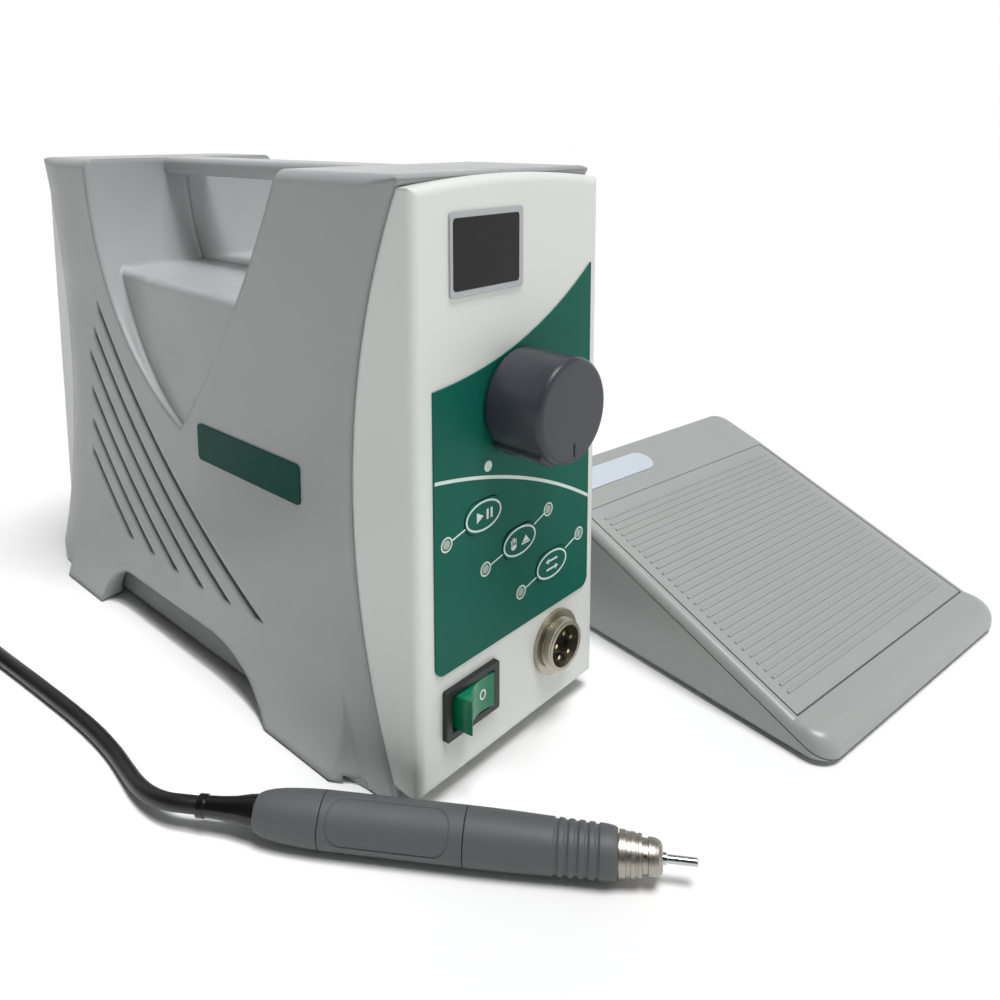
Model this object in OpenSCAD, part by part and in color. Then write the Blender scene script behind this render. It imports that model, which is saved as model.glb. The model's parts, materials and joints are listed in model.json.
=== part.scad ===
// Bench-top dental micromotor set: control unit with a carry handle, foot pedal, and motor
// handpiece on its cord. Millimetres, +Z up. The set stands on z = 0 and the origin is the
// middle of its footprint, cord left out. The unit's front panel faces -Y.

/* [Control unit] */
// Height of the housing over its feet
unit_h = 212; // [204:1:226]
// Width over the housing's flat sides
unit_w = 100; // [96:1:112]
// Depth from the front panel's face to the rear panel's face
unit_d = 263; // [255:1:285]
// Wall of the grey housing shells
shell_wall = 3.5; // [2.5:0.25:4.5]
// Radius of the long edges along the top
edge_r = 4; // [2:0.5:6]
// How far each foot flares out from the side
foot_flare = 7; // [5:0.5:10]
// Height at which the flare of the feet starts
flare_h = 34; // [26:1:44]
// Radius of the hollow sweep at the front and rear ends of the shells
sweep_r = 250; // [240:5:300]
// Depth of the front panel at the middle of its height
front_depth = 31; // [26:1:38]
// Depth of the rear panel's cheeks at the middle of their height
rear_depth = 13; // [10:1:18]
// Height of the arch between the feet
arch_h = 20; // [14:1:26]

/* [Carry handle] */
// Width of the handle bar
bar_w = 22; // [16:1:30]
// Thickness of the handle bar
bar_t = 8; // [6:0.5:12]
// Distance of the front post's rear wall from the front panel, at the top
front_post = 66; // [58:1:76]
// Distance of the rear post's front wall from the rear panel's face, at the top
rear_post = 44; // [38:1:52]
// Height of the shelf under the finger gap
shelf_z = 162; // [154:1:170]
// Radius of the shelf's outer edge
shelf_r = 3; // [1:0.5:5]
// Height of the point of the side notch
notch_z = 102; // [94:1:112]
// Distance of the point of the side notch from the front panel
notch_y = 141; // [134:1:150]
// Depth of the side notch at the rear of the shelf
notch_depth = 8.5; // [5:0.5:12]

/* [End panels] */
// Wall of the white end panels
panel_wall = 3; // [2:0.25:4]
// How far the panels' sides stand in from the housing's sides
panel_step = 2; // [1:0.25:2.5]
// Height of the panels' lower edge
panel_low = 7; // [5:0.5:10]
// Radius of the front panel's outer edges
panel_r = 3; // [1.5:0.5:5]
// Rise of the front panel's top edge in the middle
panel_crown = 3; // [1:0.5:5]

/* [Front controls] */
// Width of the printed control field
field_w = 83; // [78:1:86]
// Height of the lower edge of the control field
field_low = 47; // [45:0.5:50]
// Width of the display glass
display_w = 30.4; // [24:0.2:36]
// Height of the display glass
display_h = 22.8; // [18:0.2:25]
// Width of the frame round the display
display_rim = 2.4; // [1.6:0.2:4]
// Radius of the speed knob
knob_r = 18; // [15:0.5:20]
// Length of the speed knob
knob_l = 23.3; // [18:0.1:28]
// Width of the rocker switch's bezel
rocker_w = 26.2; // [24:0.2:30]
// Height of the rocker switch's bezel
rocker_h = 18; // [16:0.2:21]
// Turn of the rocker between off and on
rocker_turn = 18; // [12:1:20]
// Thread radius of the handpiece socket
socket_r = 9.25; // [8:0.25:11]
// Length of the socket in front of its flange
socket_l = 4.2; // [3.6:0.2:8]
// Width of an oval key
key_w = 18; // [15:0.5:20]
// Height of an oval key
key_h = 11; // [9:0.5:13]
// Travel of a key
key_travel = 0.5; // [0.3:0.1:0.8]

/* [Foot pedal] */
// Width of the pedal
pedal_w = 146; // [130:1:160]
// Length of the pedal
pedal_l = 157; // [150:1:180]
// Radius of the pedal's nose
nose_r = 6; // [5:0.5:9]
// Slope of the ribbed face
pedal_slope = 20; // [15:0.5:22]
// Slope of the deck behind the treadle
deck_slope = 18; // [12:0.5:20]
// Depth of the deck behind the treadle
deck_l = 30; // [26:1:36]
// Wall of the pedal's cover
pedal_wall = 2.5; // [2:0.25:3.5]
// Width of the cover's rim beside the treadle
pedal_rim = 4.5; // [4:0.25:7]
// Radius of the pedal's long upper edges
pedal_edge = 3.5; // [2:0.5:4.5]
// Height of the pedal's rubber feet
pedal_foot = 2.5; // [2:0.25:4]
// Thickness of the treadle
treadle_t = 3; // [2.5:0.25:3.5]
// Spacing of the ribs on the treadle
rib_pitch = 3.4; // [2.8:0.1:6]
// Radius of the treadle's hinge pin
hinge_r = 1.5; // [1:0.25:1.75]

/* [Handpiece] */
// Greatest radius of the handpiece
hand_r = 8.2; // [8:0.1:11]
// Length of the rear cap
cap_l = 22; // [19:0.5:28]
// Length of the motor body
motor_l = 45.5; // [42:0.5:60]
// Length of the turning grip
grip_l = 46.5; // [44:0.5:60]
// Length of the metal nose
nose_l = 13; // [12:0.5:18]
// Radius of the tool shank
shank_r = 1.175; // [1:0.025:1.3]
// Length of the shank in front of the nose
shank_out = 10.5; // [8:0.5:20]
// Radius of the spindle's bearings
bearing_r = 4.1; // [3.8:0.1:4.3]
// Length of the strain relief boot
boot_l = 20; // [16:1:26]

/* [Cord] */
// Diameter of the cord
cord_d = 5.5; // [5:0.1:5.8]
// Gap between the turns of the coil
coil_gap = 0.6; // [0.5:0.1:1]
// Radius of the coil at the middle of its turns
coil_r = 30; // [28:0.5:33]

/* [Fits] */
// Seam between the mating edges of the covers
seam = 0.3; // [0.2:0.05:0.5]
// Clearance round a fixed piece in its seat
seat_gap = 0.15; // [0.1:0.05:0.3]
// Radial clearance of a turning shaft
run_gap = 0.05; // [0.02:0.01:0.08]
// Clearance beside a swinging or sliding piece
swing_gap = 0.6; // [0.4:0.05:0.8]

/* [Hidden] */
$fn = 64;

// Places on the table: the front panel's middle, the pedal's nose, the handpiece's rear end
unit_at = [-70, -81];
pedal_at = [64.5, -183.3];
pedal_yaw = -8.7;
hand_at = [-155.7, -45.7];
hand_yaw = -56.4;
reach = 330;

// Screws, all of one thread
screw_r = 1.4;
screw_hole = screw_r + run_gap;
head_r = 2.8;
head_t = 1.8;
boss_r = 3.5;

// Control unit: derived lines, y from the front panel's face
half_w = unit_w / 2;
inner_w = half_w - shell_wall;
panel_half = half_w - panel_step;
panel_top = unit_h - 1;
front_mid = 101;
rear_mid = 118;
front_c = [front_depth - sweep_r, front_mid];
rear_c = [unit_d - rear_depth + sweep_r, rear_mid];
front_top = front_c.x + sqrt(pow(sweep_r, 2) - pow(unit_h - front_mid, 2));
rear_top = rear_c.x - sqrt(pow(sweep_r, 2) - pow(unit_h - rear_mid, 2));
rear_low = rear_c.x - sqrt(pow(sweep_r, 2) - pow(rear_mid, 2));
flare_r = (pow(flare_h, 2) + pow(foot_flare, 2)) / (2 * foot_flare);
foot_lift = 1;
arch_y = [124, unit_d - 71];
pad_y = [[24, 62], [unit_d - 34, unit_d - 4]];

// Centre and radius of the circle through p and q that bulges by s to the right of p to q
function bulge_r(p, q, s) = pow(norm(q - p), 2) / (8 * s) + s / 2;
function bulge_c(p, q, s) =
    let (d = (q - p) / norm(q - p), n = [d.y, -d.x])
    (p + q) / 2 + n * (s - bulge_r(p, q, s));

// Side notch below the handle: two arcs from its point to the posts
notch_tip = [notch_y, notch_z];
notch_front = [front_post, unit_h];
notch_rear = [unit_d - rear_post, unit_h];
front_bow = 4.8;
rear_bow = 20;
core_y = 95;
core_out = 0.5;
core_bow = (pow(unit_d - 57 - core_y, 2) + pow(notch_depth, 2)) / (2 * notch_depth);

// Ventilation slots: arcs about one centre, ending along the rear edge
vent_c = [-70, 350];
vent_r = 350;
vent_step = 11.6;
vent_count = 6;
vent_w = 3;
vent_low = 35;
vent_rear = 26;

// Front controls: places on the panel, x and z. The rows over the field's lower edge are drawn
// in 165ths of the rise from there to the housing's top, and spread with it
function row(z) = field_low + z / 165 * (unit_h - field_low);
display_at = [-15, row(139.3)];
knob_at = [0, row(86.4)];
rocker_at = [-24, 32];
socket_at = [22.6, 31.9];
key_at = [[-17.7, row(49.3)], [1.1, row(33.4)], [19.6, row(17.5)]];
lamp_at = [[-35.1, row(45)], [17.6, row(39.5)], [-16.5, row(29.4)], [36.7, row(23.3)],
    [2.3, row(13.2)]];
boss_at = [[-35, row(7)], [35, row(7)], [-36, row(149)], [36, row(149)]];
// Blank plate on the left side, y and z
plate_at = [92, 100.5];
plate_size = [69, 15];
plate_t = 0.6;
film_t = 0.6;
key_proud = 0.4;
key_flange = 1;
key_gap = 0.3;
lamp_r = 1.6;
board_y = panel_wall + 9;
board_half = inner_w - 5.5;
board_t = 1.6;
switch_t = 3.4;
bush_r = 4.5;
pot_r = 12;
shaft_r = 3;
nut_t = 1.2;
knob_base = 2;
rocker_axis_y = 1;
rocker_pin = 1.5;
bezel_t = 2;
socket_wall = 1.3;
socket_flange = socket_r + 3.1;
flange_t = 1.5;
pin_r = 0.75;
pin_ring = 4.7;

// Inside the unit
tray_low = 4;
tray_t = 2.5;
tray_top = tray_low + tray_t;
tray_half = inner_w - 0.8;
tray_y = [18, unit_d - 6];
cross_at = [[38, unit_h - 24], [unit_d - 22, unit_h - 24]];
cross_boss = 5;
tray_boss_x = inner_w - 5;
tray_boss_y = [44, unit_d - 24];
toroid_y = unit_d - 77;
toroid_r = 31;
toroid_h = 24;
toroid_hole = 5;
toroid_round = 6;
drive_clear = 13;
drive_y = [64, toroid_y - toroid_r - drive_clear];
drive_half = 36;
drive_z = tray_top + 6.5;
sink_spare = 28;
sink_size = [26, drive_y[1] - drive_y[0] - sink_spare, 25];
sink_base = 4;
sink_fin = 2;
sink_fins = 6;
can_r = 9;
can_h = 30;
inlet_at = [-18, 44];
inlet_size = [37, 30];
inlet_rim = 3;
inlet_mouth = [24, 16.5];
fuse_at = [20, 40];
fuse_r = 6;
jack_at = [20, 72];
jack_r = 5;

// Pedal: derived lines, u along the pedal from the nose and z up
function face_z(u) = pedal_foot + nose_r / cos(pedal_slope) + (u - nose_r) * tan(pedal_slope);
treadle_u = 15;
deck_u = pedal_l - deck_l;
deck_z = face_z(deck_u);
pedal_h = deck_z + deck_l * tan(deck_slope);
pedal_corner = 7;
pill_size = [56, 13];
pill_x = 39 - pedal_w / 2;
pill_t = 0.6;
// The rounded outlines stand this much clear of the flat faces that they cross
lift = 0.06;
base_top = pedal_foot + 2.5;
deck_gap = 1.9;
window_half = pedal_w / 2 - pedal_rim;
treadle_half = window_half - swing_gap;
hinge_u = 24;
hinge_z = face_z(hinge_u) - treadle_t - 3.4;
ear_t = 5;
ear_x = treadle_half - 16;
lug_x = ear_x + ear_t + 0.4;
spring_u = deck_u - 23;
spring_x = 36;
spring_r = 6;
spring_wire = 0.8;
spring_turns = 7;
spring_low = base_top + spring_wire + 0.1;
spring_high = face_z(spring_u - spring_r) - treadle_t - spring_wire - 0.5;
gland_z = 24;
gland_r = 5;
// Screw bosses of the cover: x, u and the height they reach
pedal_boss_x = pedal_w / 2 - pedal_wall - 3;
pedal_boss = [for (x = [-1, 1], p = [[12, base_top + 3.5], [deck_u + 12, deck_z]])
    [x * pedal_boss_x, p.x, p.y]];

// Handpiece: stations along its axis from the rear end
s_motor = cap_l + seam;
s_grip = s_motor + motor_l + seam;
s_nose = s_grip + grip_l + seam;
s_tip = s_nose + nose_l;
sleeve_r = 5.2;
bore_r = 6.3;
spindle_r = 2.4;
collet_r = shank_r + 0.45;
grip_r = shank_r - 0.175;
pad_half = 6.4;
pad_corner = 5;
pad_line_w = 0.35;
pad_turn = 50;
rotor_r = 4;
boot_r = 3.8;
boot_in = 5.8;
function hand_point(s) = [hand_at.x + s * cos(hand_yaw), hand_at.y + s * sin(hand_yaw), hand_r];

// Cord: the lead's points, then a coil of two layers, a short tail and its plug
cord_r = cord_d / 2;
lead_points = concat([hand_point(-boot_l), hand_point(-boot_l - cord_d)],
    [[-172.2, -19.5, 7.6], [-173.8, -12, 6.3], [-174, -3, 4.9], [-172.8, 8, 3.7], [-171.3, 21, 3],
    [-170.8, 35, 2.9], [-171.3, 51, 2.9], [-172.6, 69, 2.9], [-174.2, 88, 2.9], [-175.9, 106, 3],
    [-177.5, 122, 3.3], [-178.8, 136, 3.7], [-179.5, 146, 3.9], [-179.5, 151.5, 3.9]]);
lead_end = lead_points[len(lead_points) - 1];
coil_turns = 6.5;
coil_rings = 24;
coil_pitch = cord_d + coil_gap;
coil_out = coil_r + coil_pitch * coil_turns / 4;
coil_at = [lead_end.x - coil_out, lead_end.y + cord_d];
tie_t = 0.8;
plug_r = socket_r + 1.8;
plug_y = 124;

// A 2-D shape in y and z, drawn out along X
module along_x(x0, x1) {
    translate([x0, 0, 0])
        rotate([90, 0, 90])
            linear_extrude(x1 - x0)
                children();
}

// A 2-D shape in x and z, drawn out along Y
module along_y(y0, y1) {
    translate([0, y1, 0])
        rotate([90, 0, 0])
            linear_extrude(y1 - y0)
                children();
}

// A profile of radius and length, turned about an axis along X
module turned_x() {
    rotate([0, 90, 0])
        rotate_extrude()
            children();
}

module both_sides() {
    children();
    mirror([1, 0, 0])
        children();
}

module box_2d(lo, hi) {
    translate(lo)
        square(hi - lo);
}

module round_box_2d(lo, hi, r) {
    box_2d([lo.x + r, lo.y], [hi.x - r, hi.y]);
    box_2d([lo.x, lo.y + r], [hi.x, hi.y - r]);
    for (x = [lo.x + r, hi.x - r], y = [lo.y + r, hi.y - r])
        translate([x, y])
            circle(r);
}

// A flat oval with round ends, centred
module oval_2d(w, h) {
    square([w - h, h], center = true);
    for (x = [-1, 1])
        translate([x * (w - h) / 2, 0])
            circle(h / 2);
}

module on_unit() {
    translate([unit_at.x, unit_at.y, 0])
        children();
}

// A place on the front or rear panel
module on_panel(p) {
    translate([p.x, 0, p.y])
        children();
}

module on_pedal() {
    translate([pedal_at.x, pedal_at.y, 0])
        rotate([0, 0, pedal_yaw])
            children();
}

// Handpiece frame: +X runs along the axis to the nose
module on_hand() {
    translate([hand_at.x, hand_at.y, hand_r])
        rotate([0, 0, hand_yaw])
            children();
}

// Side view of the notch grown by g, in y and z
module notch_2d(g) {
    intersection() {
        translate(bulge_c(notch_front, notch_tip, front_bow))
            circle(bulge_r(notch_front, notch_tip, front_bow) + g, $fn = 128);
        translate(bulge_c(notch_tip, notch_rear, rear_bow))
            circle(bulge_r(notch_tip, notch_rear, rear_bow) + g, $fn = 128);
    }
}

// Arch between the feet: a long slope in front and a tight round behind
module arch_2d() {
    front_r = 68;
    rear_r = 22;
    box_2d([arch_y[0], -1], [arch_y[1], arch_h]);
    intersection() {
        union() {
            translate([arch_y[0], arch_h - front_r])
                circle(front_r);
            translate([arch_y[1], arch_h - rear_r])
                circle(rear_r);
        }
        box_2d([0, -1], [reach, arch_h + 1]);
    }
}

// Side view of the housing, in y and z
module side_outline_2d() {
    corner_y = [front_top + edge_r, rear_top - edge_r];
    difference() {
        union() {
            box_2d([0, foot_lift], [rear_low, unit_h - edge_r]);
            box_2d([corner_y[0], foot_lift], [corner_y[1], unit_h]);
            for (y = corner_y)
                translate([y, unit_h - edge_r])
                    circle(edge_r);
        }
        translate(front_c)
            circle(sweep_r + seam, $fn = 128);
        translate(rear_c)
            circle(sweep_r, $fn = 128);
        arch_2d();
        polygon([[rear_low - 11, 0], [rear_low + 5, 0], [rear_low + 5, 14], [rear_low - 4, 9]]);
    }
}

// Front view of the housing, in x and z
module front_outline_2d() {
    box_2d([-half_w, 0], [half_w, unit_h - edge_r]);
    box_2d([-half_w + edge_r, 0], [half_w - edge_r, unit_h]);
    both_sides() {
        translate([half_w - edge_r, unit_h - edge_r])
            circle(edge_r);
        difference() {
            box_2d([half_w - 1, 0], [half_w + foot_flare, flare_h]);
            translate([half_w + flare_r, flare_h])
                circle(flare_r, $fn = 128);
        }
    }
}

// Rolled shoulder along a swept end: radius from the sweep's centre against half width
module shoulder(c) {
    run = 15;
    steps = 5;
    wide = half_w + foot_flare + 1;
    edge = [for (t = [0:steps])
        [sweep_r + t / steps * run, half_w - (panel_step - 0.4) * pow(1 - t / steps, 2)]];
    side = concat([[sweep_r - 1, edge[0].y]], edge,
        [[sweep_r + run + 12, wide], [2 * reach, wide]]);
    other = [for (k = [len(side) - 1:-1:0]) [side[k].x, -side[k].y]];
    translate([0, c.x, c.y])
        turned_x()
            polygon(concat(side, other));
}

// One bowed side of the core below the shelf, inset by g, with a rounded upper edge
module core_side(g, top, r) {
    translate([core_bow - half_w + core_out, core_y, 0])
        rotate_extrude($fn = 128) {
            box_2d([0, 0], [core_bow - g, top - r]);
            box_2d([0, 0], [core_bow - g - r, top]);
            translate([core_bow - g - r, top - r])
                circle(r);
        }
}

// Core between the posts, inset by g
module core(g, top, r) {
    intersection() {
        core_side(g, top, r);
        mirror([1, 0, 0])
            core_side(g, top, r);
        translate([-half_w, 0, 0])
            cube([unit_w, reach, reach]);
    }
}

module vents_2d() {
    for (k = [0:vent_count - 1])
        difference() {
            intersection() {
                translate(vent_c)
                    circle(vent_r + k * vent_step + vent_w / 2, $fn = 128);
                box_2d([80, vent_low + abs(k - 2.5)], [reach, unit_h]);
            }
            translate(vent_c)
                circle(vent_r + k * vent_step - vent_w / 2, $fn = 128);
            translate(rear_c)
                circle(sweep_r + vent_rear + max(0, 2 - k) * 6, $fn = 128);
        }
}

module housing_body() {
    difference() {
        intersection() {
            along_x(-reach, reach)
                side_outline_2d();
            along_y(-1, reach)
                front_outline_2d();
            shoulder(front_c);
            shoulder(rear_c);
        }
        along_x(-reach, reach)
            notch_2d(0);
    }
    intersection() {
        along_x(-reach, reach)
            notch_2d(1);
        core(0, shelf_z, shelf_r);
    }
    intersection() {
        along_x(-reach, reach)
            notch_2d(shell_wall);
        along_y(front_post - 20, unit_d)
            round_box_2d([-bar_w / 2, unit_h - bar_t], [bar_w / 2, unit_h], 2.5);
    }
}

module housing_cavity() {
    along_x(-inner_w, inner_w)
        difference() {
            box_2d([-5, -1], [reach, unit_h - shell_wall]);
            notch_2d(shell_wall);
        }
    intersection() {
        along_x(-reach, reach)
            notch_2d(2 * shell_wall);
        core(shell_wall, shelf_z - shell_wall, 1);
    }
}

// Screw bosses: two across the posts and four above the tray
module housing_bosses() {
    for (p = cross_at)
        translate([-inner_w - 1, p.x, p.y])
            rotate([0, 90, 0])
                cylinder(r = cross_boss, h = 2 * inner_w + 2);
    both_sides()
        for (y = tray_boss_y) {
            translate([tray_boss_x, y, tray_top])
                cylinder(r = boss_r, h = 16);
            translate([tray_boss_x, y - 1, tray_top])
                cube([inner_w + 1 - tray_boss_x, 2, 16]);
        }
}

module housing() {
    difference() {
        union() {
            difference() {
                housing_body();
                housing_cavity();
            }
            housing_bosses();
        }
        along_x(-reach, reach)
            vents_2d();
        both_sides()
            for (y = tray_boss_y)
                translate([tray_boss_x, y, 0])
                    cylinder(r = screw_hole, h = tray_top + 12);
        for (p = cross_at)
            translate([-inner_w + 6, p.x, p.y])
                rotate([0, 90, 0]) {
                    cylinder(r = screw_hole, h = reach);
                    translate([0, 0, 2 * inner_w - 10])
                        cylinder(r = head_r + 0.4, h = reach);
                }
        foot_pads(seat_gap);
    }
}

module housing_left() {
    color("#8c8e8e") on_unit()
        intersection() {
            housing();
            translate([-reach, -5, -5])
                cube([reach, reach, reach]);
        }
}

module housing_right() {
    color("#8c8e8e") on_unit()
        intersection() {
            housing();
            translate([0, -5, -5])
                cube([reach, reach, reach]);
        }
}

// Rubber pads let into the undersides of the feet, grown by g for their pockets
module foot_pads(g) {
    both_sides()
        for (y = pad_y)
            translate([inner_w + 2 - g, y[0] - g, 0])
                cube([5 + 2 * g, y[1] - y[0] + 2 * g, 3]);
}

module unit_feet() {
    color("#2a2a2a") on_unit()
        foot_pads(0);
}

// Screw pointing up from its head's upper face
module screw(l) {
    cylinder(r = screw_r, h = l);
    translate([0, 0, -head_t])
        cylinder(r = head_r, h = head_t);
}

module unit_screws() {
    color("#b8b8b8") on_unit() {
        for (p = cross_at)
            translate([inner_w - 4, p.x, p.y])
                rotate([0, -90, 0])
                    screw(2 * inner_w - 11);
        both_sides()
            for (y = tray_boss_y)
                translate([tray_boss_x, y, tray_low])
                    screw(12);
        for (p = boss_at)
            translate([p.x, board_y + board_t, p.y])
                rotate([90, 0, 0])
                    screw(7);
    }
}

module base_tray() {
    color("#6f7171") on_unit()
        difference() {
            union() {
                translate([-tray_half, tray_y[0], tray_low])
                    cube([2 * tray_half, tray_y[1] - tray_y[0], tray_t]);
                both_sides()
                    translate([tray_half - 2, arch_y[0] - 53, tray_low])
                        cube([2, arch_y[1] - arch_y[0] + 80, arch_h + 2]);
                for (x = [-30, 30], y = [drive_y[0] + 5, drive_y[1] - 5])
                    translate([x, y, tray_low])
                        cylinder(r = 3, h = drive_z - tray_low);
                translate([0, toroid_y, tray_low])
                    cylinder(r = toroid_hole, h = tray_t + toroid_h);
            }
            both_sides()
                for (y = tray_boss_y)
                    translate([tray_boss_x, y, 0])
                        cylinder(r = screw_hole, h = 20);
        }
}

// Blank raised plate on the left side
module side_plate() {
    color("#00463a") on_unit()
        along_x(-half_w - plate_t, -half_w)
            round_box_2d(plate_at - plate_size / 2, plate_at + plate_size / 2, 2);
}

// Form of the front panel inset by g: rounded plan, rounded lower edge and crowned top
module front_panel_form(g) {
    r = max(panel_r - g, 0.5);
    crown = (pow(panel_half, 2) + pow(panel_crown, 2)) / (2 * panel_crown);
    deep = front_depth + 20;
    intersection() {
        linear_extrude(reach)
            round_box_2d([-panel_half + g, g], [panel_half - g, deep], r);
        along_x(-reach, reach)
            round_box_2d([g, panel_low + g], [deep, reach], r);
        translate([0, deep, panel_top - crown])
            rotate([90, 0, 0])
                rotate_extrude($fn = 128) {
                    box_2d([0, 0], [crown - g, deep - g - r]);
                    box_2d([0, 0], [crown - g - r, deep - g]);
                    translate([crown - g - r, deep - g - r])
                        circle(r);
                }
    }
}

module front_panel() {
    color("#e2e3df") on_unit()
        difference() {
            union() {
                difference() {
                    intersection() {
                        front_panel_form(0);
                        along_x(-reach, reach)
                            translate(front_c)
                                circle(sweep_r, $fn = 128);
                    }
                    front_panel_form(panel_wall);
                }
                both_sides()
                    intersection() {
                        translate([inner_w - seat_gap - 1.6, panel_wall, 14])
                            cube([1.6, 50, unit_h - 32]);
                        along_x(0, reach)
                            translate(front_c)
                                circle(sweep_r + 4, $fn = 128);
                    }
                for (p = boss_at)
                    on_panel(p)
                        along_y(panel_wall - 1, board_y)
                            circle(boss_r);
            }
            along_y(-1, panel_wall + 0.01) {
                translate(display_at)
                    square([display_w + 2 + 2 * seat_gap, display_h + 2 + 2 * seat_gap], center = true);
                translate(knob_at)
                    circle(bush_r + seat_gap);
                translate(rocker_at)
                    square([rocker_w - 3 + 2 * seat_gap, rocker_h - 3 + 2 * seat_gap], center = true);
                translate(socket_at)
                    circle(socket_r + seat_gap);
                key_holes_2d();
            }
            for (p = boss_at)
                on_panel(p)
                    along_y(board_y - 8, board_y + 1)
                        circle(screw_hole);
        }
}

module key_holes_2d() {
    for (p = key_at)
        translate(p)
            oval_2d(key_w + 2 * key_gap, key_h + 2 * key_gap);
    for (p = lamp_at)
        translate(p)
            circle(lamp_r + seat_gap);
}

// Rear plate between the shells, with cheeks that fill their hollow sweep
module rear_panel() {
    face = unit_d - panel_wall;
    plate_half = inner_w - seat_gap;
    color("#e2e3df") on_unit()
        difference() {
            union() {
                along_y(face, unit_d)
                    round_box_2d([-plate_half, tray_top + 2], [plate_half, unit_h - shell_wall - 2], 3);
                both_sides()
                    intersection() {
                        translate([plate_half - 2.5, 0, 0])
                            cube([panel_half - plate_half + 2.5, unit_d, reach]);
                        along_x(0, reach)
                            intersection() {
                                translate(rear_c)
                                    circle(sweep_r - seam, $fn = 128);
                                box_2d([0, 12], [unit_d, unit_h - 6]);
                            }
                    }
            }
            along_y(face - 5, unit_d + 1) {
                translate(inlet_at)
                    square(inlet_size + [2, 2] * seat_gap, center = true);
                translate(fuse_at)
                    circle(fuse_r + seat_gap);
                translate(jack_at)
                    circle(jack_r + seat_gap);
                for (k = [0:5])
                    translate([0, 110 + 9 * k])
                        oval_2d(50, 3);
            }
        }
}

// Control field: rounded below, cut by a rising arc above
module field_2d() {
    left = 1 - field_w / 2;
    p = [left, row(97)];
    q = [left + field_w, row(129)];
    difference() {
        round_box_2d([left, field_low], [left + field_w, row(143)], 4);
        translate(bulge_c(p, q, 7))
            circle(bulge_r(p, q, 7), $fn = 128);
    }
}

module control_overlay() {
    color("#2c5e52") on_unit()
        along_y(-film_t, 0)
            difference() {
                field_2d();
                translate(knob_at)
                    circle(bush_r + 1.5);
                key_holes_2d();
            }
}

module display_frame() {
    wide = [display_w + 2 * display_rim, display_h + 2 * display_rim];
    glass = [display_w, display_h];
    color("#aaacae") on_unit()
        on_panel(display_at)
            difference() {
                union() {
                    along_y(-0.8, 0)
                        round_box_2d(-wide / 2, wide / 2, 1.5);
                    along_y(-0.5, panel_wall)
                        square(glass + [2, 2], center = true);
                }
                along_y(-2, 1.2)
                    square(glass + [2, 2] * seat_gap, center = true);
                along_y(0, panel_wall + 1)
                    square(glass - [2, 2], center = true);
            }
}

module display_window() {
    color("#2c2c2b") on_unit()
        on_panel(display_at)
            along_y(-0.4, 1.2)
                square([display_w, display_h], center = true);
}

module display_module() {
    color("#1c1c1c") on_unit()
        on_panel(display_at)
            along_y(1.4, board_y)
                square([display_w - 3, display_h - 3], center = true);
}

// Round knob with a grip rib along its side and a line cut in its face
module speed_knob() {
    front = -knob_base - knob_l;
    color("#4a4c54") on_unit()
        on_panel(knob_at)
            difference() {
                union() {
                    translate([0, -knob_base, 0])
                        rotate([90, 0, 0])
                            rotate_extrude() {
                                box_2d([0, 0], [knob_r - 2, knob_l]);
                                box_2d([0, 0], [knob_r, knob_l - 2]);
                                translate([knob_r - 2, knob_l - 2])
                                    circle(2);
                            }
                    rotate([0, 35, 0])
                        along_y(front + 3, -knob_base)
                            round_box_2d([-4, -knob_r - 1.2], [4, -knob_r + 4], 1);
                }
                along_y(-knob_base - 7, 1)
                    circle(bush_r + 4.5);
                along_y(front + 3, 1)
                    circle(shaft_r + run_gap);
                along_y(front - 1, front + 0.7)
                    box_2d([-0.5, -knob_r + 2.5], [0.5, -knob_r + 7]);
            }
}

module pot_shaft() {
    color("#c9c9c4") on_unit()
        on_panel(knob_at)
            along_y(-knob_base - knob_l + 3.4, board_y - 2)
                circle(shaft_r);
}

module speed_pot() {
    color("#7d7f80") on_unit()
        on_panel(knob_at)
            difference() {
                union() {
                    along_y(panel_wall, board_y + 2)
                        circle(pot_r);
                    along_y(-film_t - nut_t - 3, panel_wall + 1)
                        circle(bush_r);
                    along_y(-film_t - nut_t, -film_t)
                        circle(bush_r + 3, $fn = 6);
                }
                along_y(-reach, board_y - 1.7)
                    circle(shaft_r + run_gap);
            }
}

module power_switch() {
    wide = [rocker_w, rocker_h];
    pin_l = rocker_h - 3.8;
    color("#37373c") on_unit()
        on_panel(rocker_at)
            difference() {
                union() {
                    along_y(-bezel_t, 0)
                        round_box_2d(-wide / 2, wide / 2, 1);
                    along_y(-1, 20)
                        square(wide - [3, 3], center = true);
                }
                along_y(-bezel_t - 1, 13)
                    square(wide - [5.4, 5], center = true);
                translate([0, rocker_axis_y, -pin_l / 2])
                    cylinder(r = rocker_pin + run_gap, h = pin_l);
            }
}

// Rocker with two dished faces, turned so that its left face stands out
module power_rocker() {
    half = rocker_w / 2 - 4.4;
    body_h = rocker_h - 5.8;
    pin_l = rocker_h - 4.2;
    color("#0b7a52") on_unit()
        on_panel(rocker_at)
            translate([0, rocker_axis_y, 0])
                rotate([0, 0, rocker_turn / 2]) {
                    translate([0, 0, -body_h / 2])
                        linear_extrude(body_h)
                            polygon([[-half, -5], [-half + 0.8, -5.4], [0, -3.4], [half - 0.8, -5.4],
                                [half, -5], [half, -2], [0.4 * half, 5], [-0.4 * half, 5], [-half, -2]]);
                    translate([0, 0, -pin_l / 2])
                        cylinder(r = rocker_pin, h = pin_l);
                }
}

module socket_shell() {
    front = -flange_t - socket_l;
    color("#c4bda6") on_unit()
        on_panel(socket_at)
            difference() {
                union() {
                    along_y(front, panel_wall + 6)
                        circle(socket_r);
                    along_y(-flange_t, 0)
                        circle(socket_flange);
                }
                along_y(-reach, reach)
                    circle(socket_r - socket_wall);
            }
}

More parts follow.
